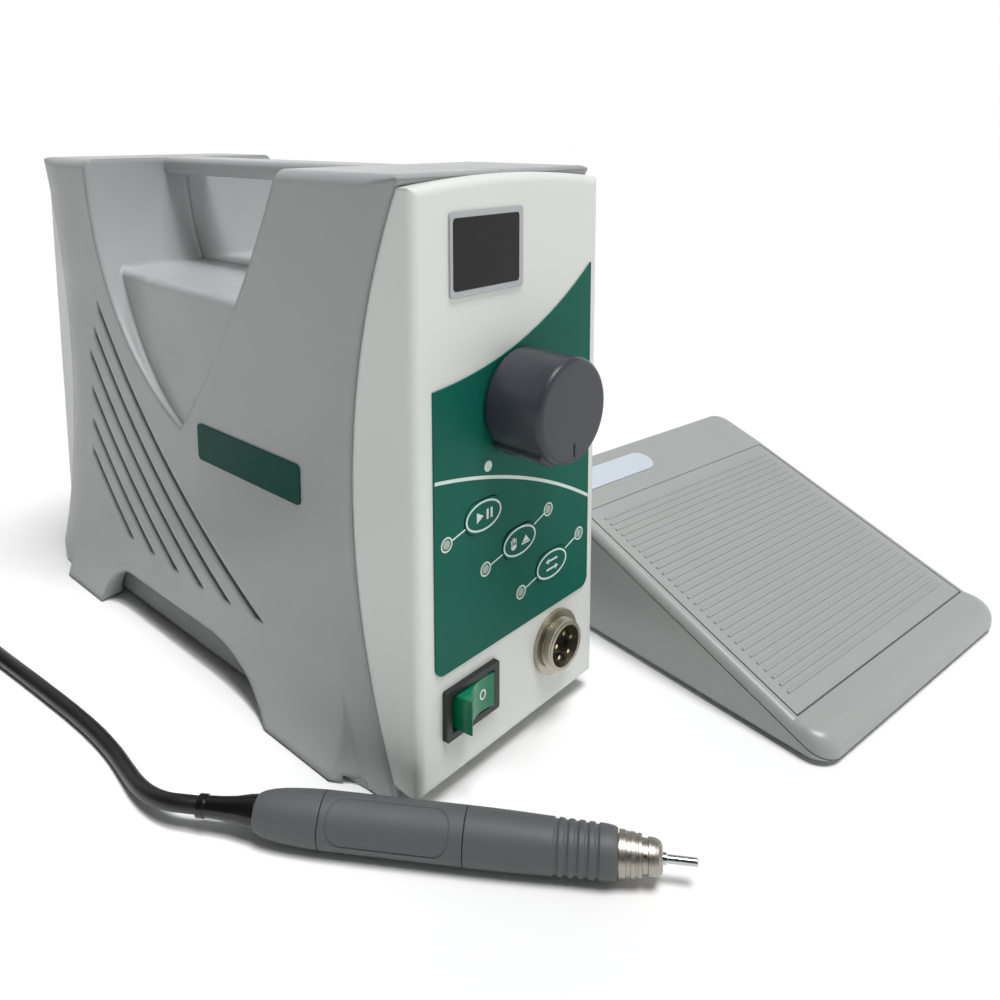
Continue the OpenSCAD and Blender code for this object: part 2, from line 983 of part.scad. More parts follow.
module socket_insert() {
    color("#1e1e1e") on_unit()
        on_panel(socket_at)
            difference() {
                along_y(-0.5, panel_wall + 6)
                    circle(socket_r - socket_wall - seat_gap);
                for (k = [0:4])
                    rotate([0, 72 * k, 0])
                        along_y(-20, 20)
                            translate([0, pin_ring])
                                circle(pin_r + run_gap);
            }
}

module socket_pins() {
    color("#d8cfa8") on_unit()
        on_panel(socket_at)
            for (k = [0:4])
                rotate([0, 72 * k, 0])
                    along_y(-flange_t - socket_l + 1, panel_wall + 10)
                        translate([0, pin_ring])
                            circle(pin_r);
}

module socket_nut() {
    color("#c4bda6") on_unit()
        on_panel(socket_at)
            along_y(panel_wall, panel_wall + 3)
                difference() {
                    circle(socket_r + 3.5, $fn = 6);
                    circle(socket_r + run_gap);
                }
}

// Oval key with a stop flange behind the panel and a stem to its switch
module key_button(p) {
    color("#2c5e52") on_unit()
        on_panel(p) {
            along_y(-film_t - key_proud, panel_wall + key_flange)
                oval_2d(key_w, key_h);
            along_y(panel_wall, panel_wall + key_flange)
                oval_2d(key_w + 2, key_h + 2);
            along_y(panel_wall + key_flange, board_y - switch_t - key_travel - 0.2)
                circle(2);
        }
}

module key_run() {
    key_button(key_at[0]);
}

module key_mode() {
    key_button(key_at[1]);
}

module key_direction() {
    key_button(key_at[2]);
}

module indicator_lamps() {
    color("#9fb3ab") on_unit()
        for (p = lamp_at)
            on_panel(p)
                along_y(-film_t, board_y)
                    circle(lamp_r);
}

// Circuit board behind the front panel, with a switch under each key
module control_board() {
    color("#1f5a3a") on_unit() {
        along_y(board_y, board_y + board_t)
            difference() {
                box_2d([-board_half, row(2)], [board_half, row(154)]);
                translate(knob_at)
                    circle(pot_r + 0.5);
                for (p = boss_at)
                    translate(p)
                        circle(screw_hole);
            }
        for (p = key_at)
            on_panel(p) {
                along_y(board_y - switch_t + 0.9, board_y)
                    square(6, center = true);
                along_y(board_y - switch_t, board_y)
                    circle(1.7);
            }
    }
}

module drive_board() {
    color("#1f5a3a") on_unit()
        translate([-drive_half, drive_y[0], drive_z])
            cube([2 * drive_half, drive_y[1] - drive_y[0], board_t]);
}

module heat_sink() {
    color("#a9acae") on_unit()
        translate([6 - drive_half, drive_y[0] + 4, drive_z + board_t]) {
            cube([sink_size.x, sink_size.y, sink_base]);
            for (k = [0:sink_fins - 1])
                translate([k * (sink_size.x - sink_fin) / (sink_fins - 1), 0, 0])
                    cube([sink_fin, sink_size.y, sink_size.z]);
        }
}

module capacitors() {
    color("#30343a") on_unit()
        for (y = [2 * can_r, 4.5 * can_r])
            translate([drive_half / 2, drive_y[0] + y, drive_z + board_t])
                cylinder(r = can_r, h = can_h);
}

// Ring-core mains transformer round its boss on the tray
module transformer() {
    color("#8a6b3a") on_unit()
        translate([0, toroid_y, tray_top])
            rotate_extrude()
                round_box_2d([toroid_hole + seat_gap, 0], [toroid_r, toroid_h], toroid_round);
}

module mains_inlet() {
    rim = inlet_size / 2 + [inlet_rim, inlet_rim];
    color("#202020") on_unit()
        on_panel(inlet_at) {
            difference() {
                union() {
                    along_y(unit_d, unit_d + 2)
                        round_box_2d(-rim, rim, 2);
                    along_y(unit_d - 22, unit_d + 1)
                        square(inlet_size, center = true);
                }
                along_y(unit_d - 15, unit_d + 3)
                    round_box_2d(-inlet_mouth / 2, inlet_mouth / 2, 1.5);
            }
            for (p = [[-7, -1.5], [7, -1.5], [0, 2.5]])
                along_y(unit_d - 16, unit_d - 3)
                    translate(p)
                        square([2, 4], center = true);
        }
}

module fuse_holder() {
    color("#202020") on_unit()
        on_panel(fuse_at)
            difference() {
                union() {
                    along_y(unit_d - 26, unit_d)
                        circle(fuse_r);
                    along_y(unit_d, unit_d + 3)
                        circle(fuse_r + 2);
                }
                along_y(unit_d + 1.5, unit_d + 4)
                    square([10, 1.4], center = true);
            }
}

module pedal_jack() {
    color("#3a3a3a") on_unit()
        on_panel(jack_at)
            difference() {
                union() {
                    along_y(unit_d - 14, unit_d)
                        circle(jack_r);
                    along_y(unit_d, unit_d + 2)
                        circle(jack_r + 2);
                }
                along_y(unit_d - 12, unit_d + 3)
                    circle(1.8);
            }
}

// Side view of the pedal: round nose, ribbed slope, deck and rounded far corner
module pedal_side_2d() {
    r = 4;
    round_u = pedal_l - r;
    round_z = deck_z + (round_u - deck_u) * tan(deck_slope) - r / cos(deck_slope);
    translate([nose_r, pedal_foot])
        circle(nose_r);
    translate([round_u, round_z])
        circle(r);
    polygon([[nose_r, 0], [pedal_l, 0], [pedal_l, round_z],
        [round_u - r * sin(deck_slope), round_z + r * cos(deck_slope)], [deck_u, deck_z],
        [nose_r - nose_r * sin(pedal_slope), pedal_foot + nose_r * cos(pedal_slope)]]);
}

// Long prism whose top lies in the plane through u and z at the given slope, edges rounded
module pedal_prism(u, z, slope) {
    translate([0, u, z])
        rotate([slope, 0, 0])
            along_y(-reach, reach)
                round_box_2d([-pedal_w / 2 - lift, -reach], [pedal_w / 2 + lift, lift], pedal_edge);
}

// Plan of the pedal: round corners at the far end, and corners eased in three cuts at the nose
module pedal_plan_2d() {
    half = pedal_w / 2 + lift;
    cut = [[0, 2 * reach], [0, 1], [0.13, 0.5], [0.5, 0.13], [1.4, -0.1]] * pedal_corner;
    right = [for (p = cut) [half - p.x, p.y]];
    left = [for (k = [len(cut) - 1:-1:0]) [cut[k].x - half, cut[k].y]];
    intersection() {
        round_box_2d([-pedal_w / 2, -20], [pedal_w / 2, pedal_l + lift], pedal_corner);
        polygon(concat(right, left));
    }
}

module pedal_form() {
    intersection() {
        along_x(-pedal_w, pedal_w)
            intersection() {
                pedal_side_2d();
                box_2d([-1, pedal_foot], [reach, reach]);
            }
        linear_extrude(reach)
            pedal_plan_2d();
        pedal_prism(deck_u, deck_z, pedal_slope);
        pedal_prism(deck_u, deck_z, deck_slope);
    }
}

// Room inside the cover, open below
module pedal_hollow() {
    face = pedal_wall / cos(pedal_slope);
    deck = pedal_wall / cos(deck_slope);
    intersection() {
        along_x(-pedal_w, pedal_w)
            polygon([[0, 0], [pedal_l, 0], [pedal_l, pedal_h - deck], [deck_u, deck_z - face],
                [0, face_z(0) - face]]);
        linear_extrude(reach)
            base_2d(0);
    }
}

// Outline of the pedal's base inside the cover, inset by g
module base_2d(g) {
    half = pedal_w / 2 - pedal_wall - g;
    round_box_2d([-half, pedal_wall + g], [half, pedal_l - pedal_wall - g], pedal_corner - pedal_wall);
}

module pedal_cover() {
    color("#8e9391") on_pedal()
        difference() {
            union() {
                difference() {
                    pedal_form();
                    pedal_hollow();
                    translate([-window_half, treadle_u, base_top])
                        cube([2 * window_half, deck_u - treadle_u, reach]);
                }
                for (p = pedal_boss)
                    translate([p.x, p.y, base_top])
                        cylinder(r = boss_r, h = p.z - base_top);
            }
            for (p = pedal_boss)
                translate([p.x, p.y, 0])
                    cylinder(r = screw_hole, h = base_top + 3);
            translate([0, pedal_l + 1, gland_z])
                rotate([90, 0, 0])
                    cylinder(r = gland_r + seat_gap, h = 10);
        }
}

// Base plate with the ears of the hinge and a seat for each spring
module pedal_base() {
    ear_r = hinge_r + 1.3;
    color("#6e7371") on_pedal()
        difference() {
            union() {
                translate([0, 0, pedal_foot])
                    linear_extrude(base_top - pedal_foot)
                        base_2d(seat_gap);
                both_sides()
                    along_x(ear_x, ear_x + ear_t) {
                        box_2d([hinge_u - ear_r, pedal_foot], [hinge_u + ear_r, hinge_z]);
                        translate([hinge_u, hinge_z])
                            circle(ear_r);
                    }
                both_sides()
                    translate([spring_x, spring_u, pedal_foot])
                        cylinder(r = spring_r - spring_wire - 0.6, h = base_top - pedal_foot + 4);
            }
            along_x(-reach, reach)
                translate([hinge_u, hinge_z])
                    circle(hinge_r + run_gap);
            for (p = pedal_boss)
                translate([p.x, p.y, 0])
                    cylinder(r = screw_hole, h = reach);
        }
}

module pedal_feet() {
    color("#2a2a2a") on_pedal()
        both_sides()
            for (u = [24, pedal_l - 14])
                translate([pedal_w / 2 - 22, u, 0])
                    cylinder(r = 7, h = pedal_foot);
}

module pedal_screws() {
    color("#b8b8b8") on_pedal()
        for (p = pedal_boss)
            translate([p.x, p.y, pedal_foot])
                screw(5);
}

// Blank pill-shaped plate on the deck
module pedal_plate() {
    mid = deck_l / 2 - 0.5;
    color("#cfdcea") on_pedal()
        translate([pill_x, deck_u + mid, deck_z + mid * tan(deck_slope) + 0.02])
            rotate([deck_slope, 0, 0])
                linear_extrude(pill_t)
                    oval_2d(pill_size.x, pill_size.y);
}

module pedal_gland() {
    color("#2a2a2a") on_pedal()
        translate([0, pedal_l, gland_z])
            rotate([90, 0, 0])
                difference() {
                    union() {
                        translate([0, 0, -3])
                            cylinder(r = gland_r + 2, h = 3);
                        cylinder(r = gland_r, h = pedal_wall + 3);
                    }
                    translate([0, 0, -10])
                        cylinder(r = 2.6, h = 30);
                }
}

// Ribbed plate, hinged on the pin near its low end
module treadle() {
    ends = [treadle_u + swing_gap, deck_u - deck_gap];
    margin = 7;
    count = floor((ends[1] - ends[0] - 2 * margin) / rib_pitch);
    lug_r = hinge_r + 1.6;
    stub = spring_r - spring_wire - 0.6;
    stub_low = spring_high - 3;
    color("#a8acaa") on_pedal()
        difference() {
            union() {
                along_x(-treadle_half, treadle_half)
                    slab_2d(ends[0], ends[1], -treadle_t, 0);
                for (k = [0:count])
                    along_x(-treadle_half + 5, treadle_half - 5)
                        let (u = ends[0] + margin + k * rib_pitch)
                            slab_2d(u - 0.5, u + 0.5, -1, 0.5);
                both_sides()
                    along_x(lug_x, lug_x + ear_t) {
                        translate([hinge_u, hinge_z])
                            circle(lug_r);
                        polygon([[hinge_u - lug_r, hinge_z], [hinge_u + lug_r, hinge_z],
                            [hinge_u + lug_r, face_z(hinge_u + lug_r) - 1],
                            [hinge_u - lug_r, face_z(hinge_u - lug_r) - 1]]);
                    }
                both_sides()
                    translate([spring_x, spring_u, stub_low])
                        cylinder(r = stub, h = face_z(spring_u - stub) - 1.6 - stub_low);
            }
            along_x(-reach, reach)
                translate([hinge_u, hinge_z])
                    circle(hinge_r + run_gap);
        }
}

// A strip that follows the ribbed slope between heights a and b over it
module slab_2d(u0, u1, a, b) {
    polygon([[u0, face_z(u0) + a], [u1, face_z(u1) + a], [u1, face_z(u1) + b], [u0, face_z(u0) + b]]);
}

module treadle_pin() {
    color("#c9c9c4") on_pedal()
        both_sides()
            along_x(ear_x - 1, lug_x + ear_t + 1)
                translate([hinge_u, hinge_z])
                    circle(hinge_r);
}

// Ring of points round p, square to the heading d
function ring_at(p, d, r, sides) =
    let (side = cross(d, [0, 0, 1]) / norm(cross(d, [0, 0, 1])), up = cross(side, d))
    [for (k = [0:sides - 1]) p + r * (cos(360 * k / sides) * side + sin(360 * k / sides) * up)];
function heading(p, k) =
    let (n = len(p) - 1, d = p[min(k + 1, n)] - p[max(k - 1, 0)])
    d / norm(d);

// Closed tube swept along a list of points, with flat ends
module tube(p, r, sides) {
    n = len(p);
    rings = [for (k = [0:n - 1]) each ring_at(p[k], heading(p, k), r, sides)];
    walls = [for (k = [0:n - 2], s = [0:sides - 1])
        let (a = k * sides + s, b = k * sides + (s + 1) % sides)
        each [[a, b, b + sides], [a, b + sides, a + sides]]];
    first = [for (s = [1:sides - 2]) [0, s + 1, s]];
    last = [for (s = [1:sides - 2]) [(n - 1) * sides, (n - 1) * sides + s, (n - 1) * sides + s + 1]];
    polyhedron(points = rings, faces = concat(walls, first, last));
}

// Two return springs under the treadle
spring_steps = spring_turns * 8;
spring_rise = (spring_high - spring_low) / spring_steps;
spring_points = [for (k = [0:spring_steps])
    [spring_r * cos(45 * k), spring_r * sin(45 * k), spring_low + spring_rise * k]];
spring_gap = min([for (i = [0:spring_steps - 4], j = [i + 4:1:spring_steps])
    norm(spring_points[i] - spring_points[j])]) - 2 * spring_wire;
echo(spring_least_gap = spring_gap);

module treadle_springs() {
    color("#c9c9c4") on_pedal()
        for (x = [-spring_x, spring_x])
            translate([x, spring_u, 0])
                tube(spring_points, spring_wire, 6);
}

// Position sensor on its small board, and the magnet on the treadle that passes it
module position_sensor() {
    color("#1f5a3a") on_pedal() {
        translate([-14, 62, base_top])
            cube([28, 22, board_t]);
        translate([-5, 72, base_top])
            cube([2.5, 4, board_t + 9]);
    }
}

module sensor_magnet() {
    low = base_top + 8;
    color("#5a5d60") on_pedal()
        along_x(1, 7)
            polygon([[71, low], [77, low], [77, face_z(77) - treadle_t], [71, face_z(71) - treadle_t]]);
}

// Handpiece piece turned from a profile of station and radius
module turned_part(profile) {
    turned_x()
        polygon([for (p = profile) [p.y, p.x]]);
}

module rear_cap() {
    step = cap_l - 7;
    color("#585c5c") on_hand()
        turned_part([[0, boot_r + seat_gap], [0, hand_r - 2.8], [1.5, hand_r - 2.1], [4.5, hand_r - 1.3],
            [8, hand_r - 0.8], [12, hand_r - 0.45], [17, hand_r - 0.15], [cap_l, hand_r], [cap_l, bore_r],
            [step, bore_r], [step, bore_r - 2], [boot_in + 0.2, bore_r - 2],
            [boot_in + 0.2, boot_r + seat_gap]]);
}

// Motor body with a spigot for the cap, a seat for the rear bearing and one for the sleeve
module motor_body() {
    front = s_motor + motor_l;
    seat = bearing_r + run_gap;
    color("#585c5c") on_hand()
        difference() {
            turned_part([[s_motor - 6, seat], [s_motor - 6, bore_r - seat_gap],
                [s_motor, bore_r - seat_gap], [s_motor, hand_r], [front, hand_r],
                [front, sleeve_r + seat_gap], [front - 6, sleeve_r + seat_gap], [front - 6, bore_r],
                [s_motor + 6, bore_r], [s_motor + 6, seat]]);
            pad_line();
        }
}

// Fine groove round the finger pad on the motor body's upper side
module pad_line() {
    lo = [s_motor + 2.2, -pad_half];
    hi = [s_motor + motor_l - 4.4, pad_half];
    fine = [pad_line_w, pad_line_w];
    difference() {
        rotate([pad_turn, 0, 0])
            linear_extrude(hand_r + 1)
                difference() {
                    round_box_2d(lo, hi, pad_corner);
                    round_box_2d(lo + fine, hi - fine, pad_corner - pad_line_w);
                }
        turned_part([[s_motor - 1, 0], [s_motor - 1, hand_r - pad_line_w],
            [s_motor + motor_l + 1, hand_r - pad_line_w], [s_motor + motor_l + 1, 0]]);
    }
}

module motor_stator() {
    ends = [s_motor + 9, s_motor + motor_l - 9];
    color("#9a6a3a") on_hand()
        turned_part([[ends[0], rotor_r + 0.5], [ends[0], bore_r - seat_gap],
            [ends[1], bore_r - seat_gap], [ends[1], rotor_r + 0.5]]);
}

module motor_rotor() {
    ends = [s_motor + 11, s_motor + motor_l - 11];
    color("#6a6d70") on_hand()
        turned_part([[ends[0], spindle_r + run_gap], [ends[0], rotor_r],
            [ends[1], rotor_r], [ends[1], spindle_r + run_gap]]);
}

// Spindle, stepped down to the collet that shows at the tip
module spindle() {
    color("#c9c9c4") on_hand()
        turned_part([[s_motor + 1, 0], [s_motor + 1, spindle_r], [s_tip - 2.4, spindle_r],
            [s_tip - 2.4, collet_r], [s_tip + 1.2, collet_r], [s_tip + 1.2, grip_r + run_gap],
            [s_nose - 14, grip_r + run_gap], [s_nose - 14, 0]]);
}

// Shank of a tool, stepped down where the collet grips it
module tool_shank() {
    end = s_tip + shank_out;
    grip = s_tip + 1.5;
    color("#d6d6d2") on_hand()
        turned_part([[s_nose - 13.5, 0], [s_nose - 13.5, grip_r], [grip, grip_r], [grip, shank_r],
            [end - 0.3, shank_r], [end, shank_r - 0.3], [end, 0]]);
}

// Two ball races, shown as closed rings
module bearings() {
    color("#b9bcbe") on_hand()
        for (s = [s_motor + 1.5, s_nose - 9])
            turned_part([[s, spindle_r + run_gap], [s, bearing_r], [s + 4, bearing_r],
                [s + 4, spindle_r + run_gap]]);
}

// Fixed sleeve that carries the grip and the nose
module grip_sleeve() {
    ends = [s_motor + motor_l - 6 + seat_gap, s_nose + 6];
    color("#b0b2b2") on_hand()
        turned_part([[ends[0], bearing_r + run_gap], [ends[0], sleeve_r], [ends[1], sleeve_r],
            [ends[1], bearing_r + run_gap]]);
}

// Grip with five grooves, closing in towards the nose
module front_grip() {
    end = s_grip + grip_l;
    groove = [for (k = [0:4])
        let (s = s_grip + 27 + 3.1 * k, r = hand_r - 0.5 - 0.06 * k)
        each [[s, r], [s + 0.5, r - 0.5], [s + 1.2, r - 0.5], [s + 1.7, r - 0.03]]];
    color("#585c5c") on_hand()
        turned_part(concat([[s_grip, sleeve_r + run_gap], [s_grip, hand_r], [s_grip + 8, hand_r - 0.05],
            [s_grip + 18, hand_r - 0.25]], groove, [[end - 3.5, hand_r - 0.85], [end - 1.5, hand_r - 1.1],
            [end - 0.4, hand_r - 1.4], [end, hand_r - 1.8], [end, sleeve_r + run_gap]]));
}

module nose_cone() {
    color("#b4af9f") on_hand()
        difference() {
            turned_part([[s_nose, sleeve_r + seat_gap], [s_nose, 6.4], [s_nose + 2, 6.3],
                [s_nose + 2.2, 6], [s_nose + 3.4, 5.9], [s_nose + 3.6, 6.1], [s_nose + 4.9, 5.95],
                [s_nose + 5.1, 5.7], [s_nose + 5.6, 5.65], [s_nose + 5.8, 5.85], [s_nose + 6.8, 5.75],
                [s_nose + 7, 4.8], [s_nose + 8.6, 4.7], [s_nose + 8.8, 5.2], [s_tip - 2.4, 5.1],
                [s_tip - 1.2, 4.75], [s_tip - 0.4, 4.2], [s_tip, 3.4], [s_tip, collet_r + 0.2],
                [s_tip - 2, collet_r + 0.2], [s_tip - 2, spindle_r + 0.3],
                [s_nose + 6.2, spindle_r + 0.3], [s_nose + 6.2, sleeve_r + seat_gap]]);
            for (turn = [0:90:270])
                rotate([turn + 50, 0, 0])
                    translate([s_nose + 7.8, 0, 3.6])
                        cylinder(r = 0.55, h = 3);
        }
}

// Strain relief between the cord and the handpiece
module cord_boot() {
    end = -boot_l;
    color("#1c1c1c") on_hand()
        turned_part([[end, 0], [end, 3.5], [end + 2.4, 3.5], [end + 2.6, 3.1], [end + 7, 3.3], [-8, 3.8],
            [-3, 4.8], [-seat_gap, 5.1], [-seat_gap, boot_r], [boot_in, boot_r], [boot_in, 0]]);
}

module cord_lead() {
    color("#1c1c1c")
        tube(lead_points, cord_r, 8);
}

// Coil in two layers: in along the table, then out on top, with straight ends
function coil_point(t) =
    let (half = coil_turns / 2, in = t < half ? t : coil_turns - t,
        climb = min(1, max(0, (t - half + 0.25) / 0.5)), r = coil_out - coil_pitch * in)
    [coil_at.x + r * cos(360 * t), coil_at.y + r * sin(360 * t), lead_end.z + climb * coil_pitch];
coil_turn = [for (k = [0:coil_turns * coil_rings]) coil_point(k / coil_rings)];
coil_last = coil_turn[len(coil_turn) - 1];
tail_start = coil_last - [0, cord_d, 0];
coil_points = concat([lead_end], coil_turn, [tail_start]);
// Least gap between points that lie more than half a turn apart along the cord
coil_least = min([for (i = [0:len(coil_points) - 1], j = [i + coil_rings / 2:1:len(coil_points) - 1])
    norm(coil_points[i] - coil_points[j])]) - cord_d;
echo(coil_least_gap = coil_least);

module cord_coil() {
    color("#1c1c1c")
        tube(coil_points, cord_r, 6);
}

module cord_tail() {
    drop = plug_r - tail_start.z;
    color("#1c1c1c")
        tube([tail_start, tail_start - [0, cord_d, 0],
            [tail_start.x, (tail_start.y + plug_y) / 2, plug_r - drop / 2],
            [tail_start.x, plug_y + cord_d, plug_r], [tail_start.x, plug_y, plug_r]], cord_r, 8);
}

// Strap round the turns of the coil
module cord_tie() {
    low = [coil_r - coil_pitch * coil_turns / 4 - cord_r - 0.5, lead_end.z - cord_r - 0.2];
    high = [coil_out + cord_r + 0.5, lead_end.z + coil_pitch + cord_r + 0.3];
    wall = [tie_t, tie_t];
    color("#333333")
        translate([coil_at.x, coil_at.y, 0])
            rotate([0, 0, 120])
                translate([0, 5, 0])
                    rotate([90, 0, 0])
                        linear_extrude(10)
                            difference() {
                                round_box_2d(low - wall, high + wall, 2.3);
                                round_box_2d(low, high, 1.5);
                            }
}

// Screw-on cable plug for the panel socket, lying beside the coil
module cord_plug() {
    color("#c4bda6")
        translate([tail_start.x, plug_y, plug_r])
            rotate([0, 0, -90])
                turned_part([[0, 0], [0, 4], [13, 4.8], [14, 8], [30, 8.4], [31, plug_r - 0.6], [32, plug_r],
                    [48, plug_r], [48.6, plug_r - 0.6], [48.6, socket_r + 0.3], [40, socket_r + 0.3],
                    [40, socket_r - socket_wall - 0.5], [47, socket_r - socket_wall - 0.5], [47, 0]]);
}

housing_left();
housing_right();
front_panel();
rear_panel();
base_tray();
unit_feet();
unit_screws();
side_plate();
control_overlay();
display_frame();
display_window();
display_module();
speed_knob();
pot_shaft();
speed_pot();
power_switch();
power_rocker();
socket_shell();
socket_insert();
socket_pins();
socket_nut();
key_run();
key_mode();
key_direction();
indicator_lamps();
control_board();
drive_board();
heat_sink();
capacitors();
transformer();
mains_inlet();
fuse_holder();
pedal_jack();
pedal_cover();
pedal_base();
pedal_feet();
pedal_screws();
pedal_plate();
pedal_gland();
treadle();
treadle_pin();
treadle_springs();
position_sensor();
sensor_magnet();
rear_cap();
motor_body();
motor_stator();
motor_rotor();
spindle();
tool_shank();
bearings();
grip_sleeve();
front_grip();
nose_cone();
cord_boot();
cord_lead();
cord_coil();
cord_tail();
cord_tie();
cord_plug();
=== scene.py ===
import json
import math

import bpy
from mathutils import Euler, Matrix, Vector

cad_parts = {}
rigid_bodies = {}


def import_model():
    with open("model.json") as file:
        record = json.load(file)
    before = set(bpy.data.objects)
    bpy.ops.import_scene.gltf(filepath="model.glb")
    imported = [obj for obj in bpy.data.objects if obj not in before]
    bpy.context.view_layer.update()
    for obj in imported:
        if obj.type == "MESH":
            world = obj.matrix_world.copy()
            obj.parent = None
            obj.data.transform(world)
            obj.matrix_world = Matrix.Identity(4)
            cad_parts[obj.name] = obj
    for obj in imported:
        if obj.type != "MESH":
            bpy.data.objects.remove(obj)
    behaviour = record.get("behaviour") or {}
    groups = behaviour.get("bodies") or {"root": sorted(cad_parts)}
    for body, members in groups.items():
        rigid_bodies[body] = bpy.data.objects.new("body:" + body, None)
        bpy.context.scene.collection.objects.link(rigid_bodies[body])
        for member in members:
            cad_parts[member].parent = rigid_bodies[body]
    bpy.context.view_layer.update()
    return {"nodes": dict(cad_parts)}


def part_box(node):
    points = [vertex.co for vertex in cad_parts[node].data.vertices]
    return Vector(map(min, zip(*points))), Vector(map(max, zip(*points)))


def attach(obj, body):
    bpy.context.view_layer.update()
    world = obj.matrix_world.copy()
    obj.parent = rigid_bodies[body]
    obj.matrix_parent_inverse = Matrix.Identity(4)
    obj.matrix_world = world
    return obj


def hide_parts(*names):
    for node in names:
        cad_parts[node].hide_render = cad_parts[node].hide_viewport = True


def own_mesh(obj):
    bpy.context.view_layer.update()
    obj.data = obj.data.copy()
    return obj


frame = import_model()

# Camera: a short lens at table height, a little to the left of the control unit's front.
# It looks nearly level and is shifted down, so that upright edges stay upright.
for leftover in [o for o in bpy.data.objects if o.name in ("Cube", "Light", "Camera")]:
    bpy.data.objects.remove(leftover)
camera_at = (-0.2936, -0.2727, 0.2252)
look_down, look_right = 7.8, 48.3
bpy.ops.object.camera_add(
    location=camera_at,
    rotation=(math.radians(90 - look_down), 0, math.radians(-look_right)),
)
camera = bpy.context.object
camera.data.sensor_width = 36
camera.data.lens = 31.5
camera.data.shift_y = -0.25
camera.data.clip_start = 0.01
bpy.context.scene.camera = camera

# Floor and light: a plain pale paper floor. One soft light hangs over the set and a small one over
# the handle. The room is white at the horizon, dim above, nearly dark on the left, and the backdrop
# behind the set is plain white.


def paint(red, green, blue):
    """A colour as seen on a screen, 0 to 255, as the linear values that a shader takes."""
    return tuple(
        c / 12.92 if c <= 0.04045 else ((c + 0.055) / 1.055) ** 2.4
        for c in (red / 255, green / 255, blue / 255)
    )


bpy.ops.mesh.primitive_plane_add(size=14)
floor = bpy.context.object
floor.name = "floor"
paper = bpy.data.materials.new("paper")
paper.use_nodes = True
paper_shader = paper.node_tree.nodes["Principled BSDF"]
paper_shader.inputs["Base Color"].default_value = (*paint(247, 247, 247), 1)
paper_shader.inputs["Roughness"].default_value = 0.9
paper_shader.inputs["Specular IOR Level"].default_value = 0.1
floor.data.materials.append(paper)
key_way = Vector((0.0, 0.26, -0.96))
bpy.ops.object.light_add(type="SUN", location=(0.2, -0.3, 1.9))
key_light = bpy.context.object
key_light.name = "key_light"
key_light.data.energy = 2.75
key_light.data.angle = math.radians(26)
key_light.rotation_euler = key_way.to_track_quat("-Z", "Y").to_euler()
shelf_at = Vector((-0.115, 0.050, 0.162))
shelf_light_up = Vector((-0.05, -0.08, 1.19))
bpy.ops.object.light_add(type="SPOT", location=shelf_at + shelf_light_up)
shelf_light = bpy.context.object
shelf_light.name = "shelf_light"
shelf_light.data.energy = 80
shelf_light.data.spot_size = math.radians(7)
shelf_light.data.spot_blend = 0.6
shelf_light.data.shadow_soft_size = 0.12
shelf_light.rotation_euler = (-shelf_light_up).to_track_quat("-Z", "Y").to_euler()
room = bpy.data.worlds.new("room")
bpy.context.scene.world = room
room.use_nodes = True
sky, wires = room.node_tree.nodes, room.node_tree.links
way = sky.new("ShaderNodeSeparateXYZ")
wires.new(sky.new("ShaderNodeTexCoord").outputs["Generated"], way.inputs["Vector"])
room_fades = (("Z", 0.26, 0.5, 1.0, 0.32), ("X", -0.6, 0.1, 0.12, 1.0), ("Y", -0.8, -0.1, 0.85, 1.0))
strength = None
for axis, start, end, before, after in room_fades:
    fade = sky.new("ShaderNodeMapRange")
    fade.interpolation_type = "SMOOTHSTEP"
    for socket, value in zip(("From Min", "From Max", "To Min", "To Max"), (start, end, before, after)):
        fade.inputs[socket].default_value = value
    wires.new(way.outputs[axis], fade.inputs["Value"])
    if strength:
        both = sky.new("ShaderNodeMath")
        both.operation = "MULTIPLY"
        wires.new(strength, both.inputs[0])
        wires.new(fade.outputs["Result"], both.inputs[1])
    strength = both.outputs["Value"] if strength else fade.outputs["Result"]
backdrop = sky.new("ShaderNodeMath")
backdrop.operation = "MAXIMUM"
wires.new(strength, backdrop.inputs[0])
wires.new(sky.new("ShaderNodeLightPath").outputs["Is Camera Ray"], backdrop.inputs[1])
wires.new(backdrop.outputs["Value"], sky["Background"].inputs["Strength"])
sky["Background"].inputs["Color"].default_value = (1, 1, 1, 1)
bpy.context.scene.view_settings.view_transform = "Standard"

# Handpiece cord: a 5.5 mm jacketed cable, about a metre and a half long. It leaves the boot,
# sinks to the table and runs along the unit; the rest is wound in a tied coil with its plug.
cord_d = 0.0055
hand_yaw = math.radians(-56.4)
hand_dir = Vector((math.cos(hand_yaw), math.sin(hand_yaw), 0))
hand_at = Vector((-0.1557, -0.0457, 0.0082))
boot_l = 0.020
route = [hand_at - boot_l * hand_dir, hand_at - (boot_l + cord_d) * hand_dir]
route += [Vector(p) / 1000 for p in (
    (-172.2, -19.5, 7.6), (-173.8, -12, 6.3), (-174, -3, 4.9), (-172.8, 8, 3.7), (-171.3, 21, 3),
    (-170.8, 35, 2.9), (-171.3, 51, 2.9), (-172.6, 69, 2.9), (-174.2, 88, 2.9), (-175.9, 106, 3),
    (-177.5, 122, 3.3), (-178.8, 136, 3.7), (-179.5, 146, 3.9), (-179.5, 151.5, 3.9))]
lead_end = route[-1]
coil_r, coil_turns, coil_gap = 0.030, 6.5, 0.0006
coil_steps, climb_turns = 24, 0.5
coil_pitch = cord_d + coil_gap
coil_out = coil_r + coil_pitch * coil_turns / 4
coil_at = Vector((lead_end.x - coil_out, lead_end.y + cord_d))
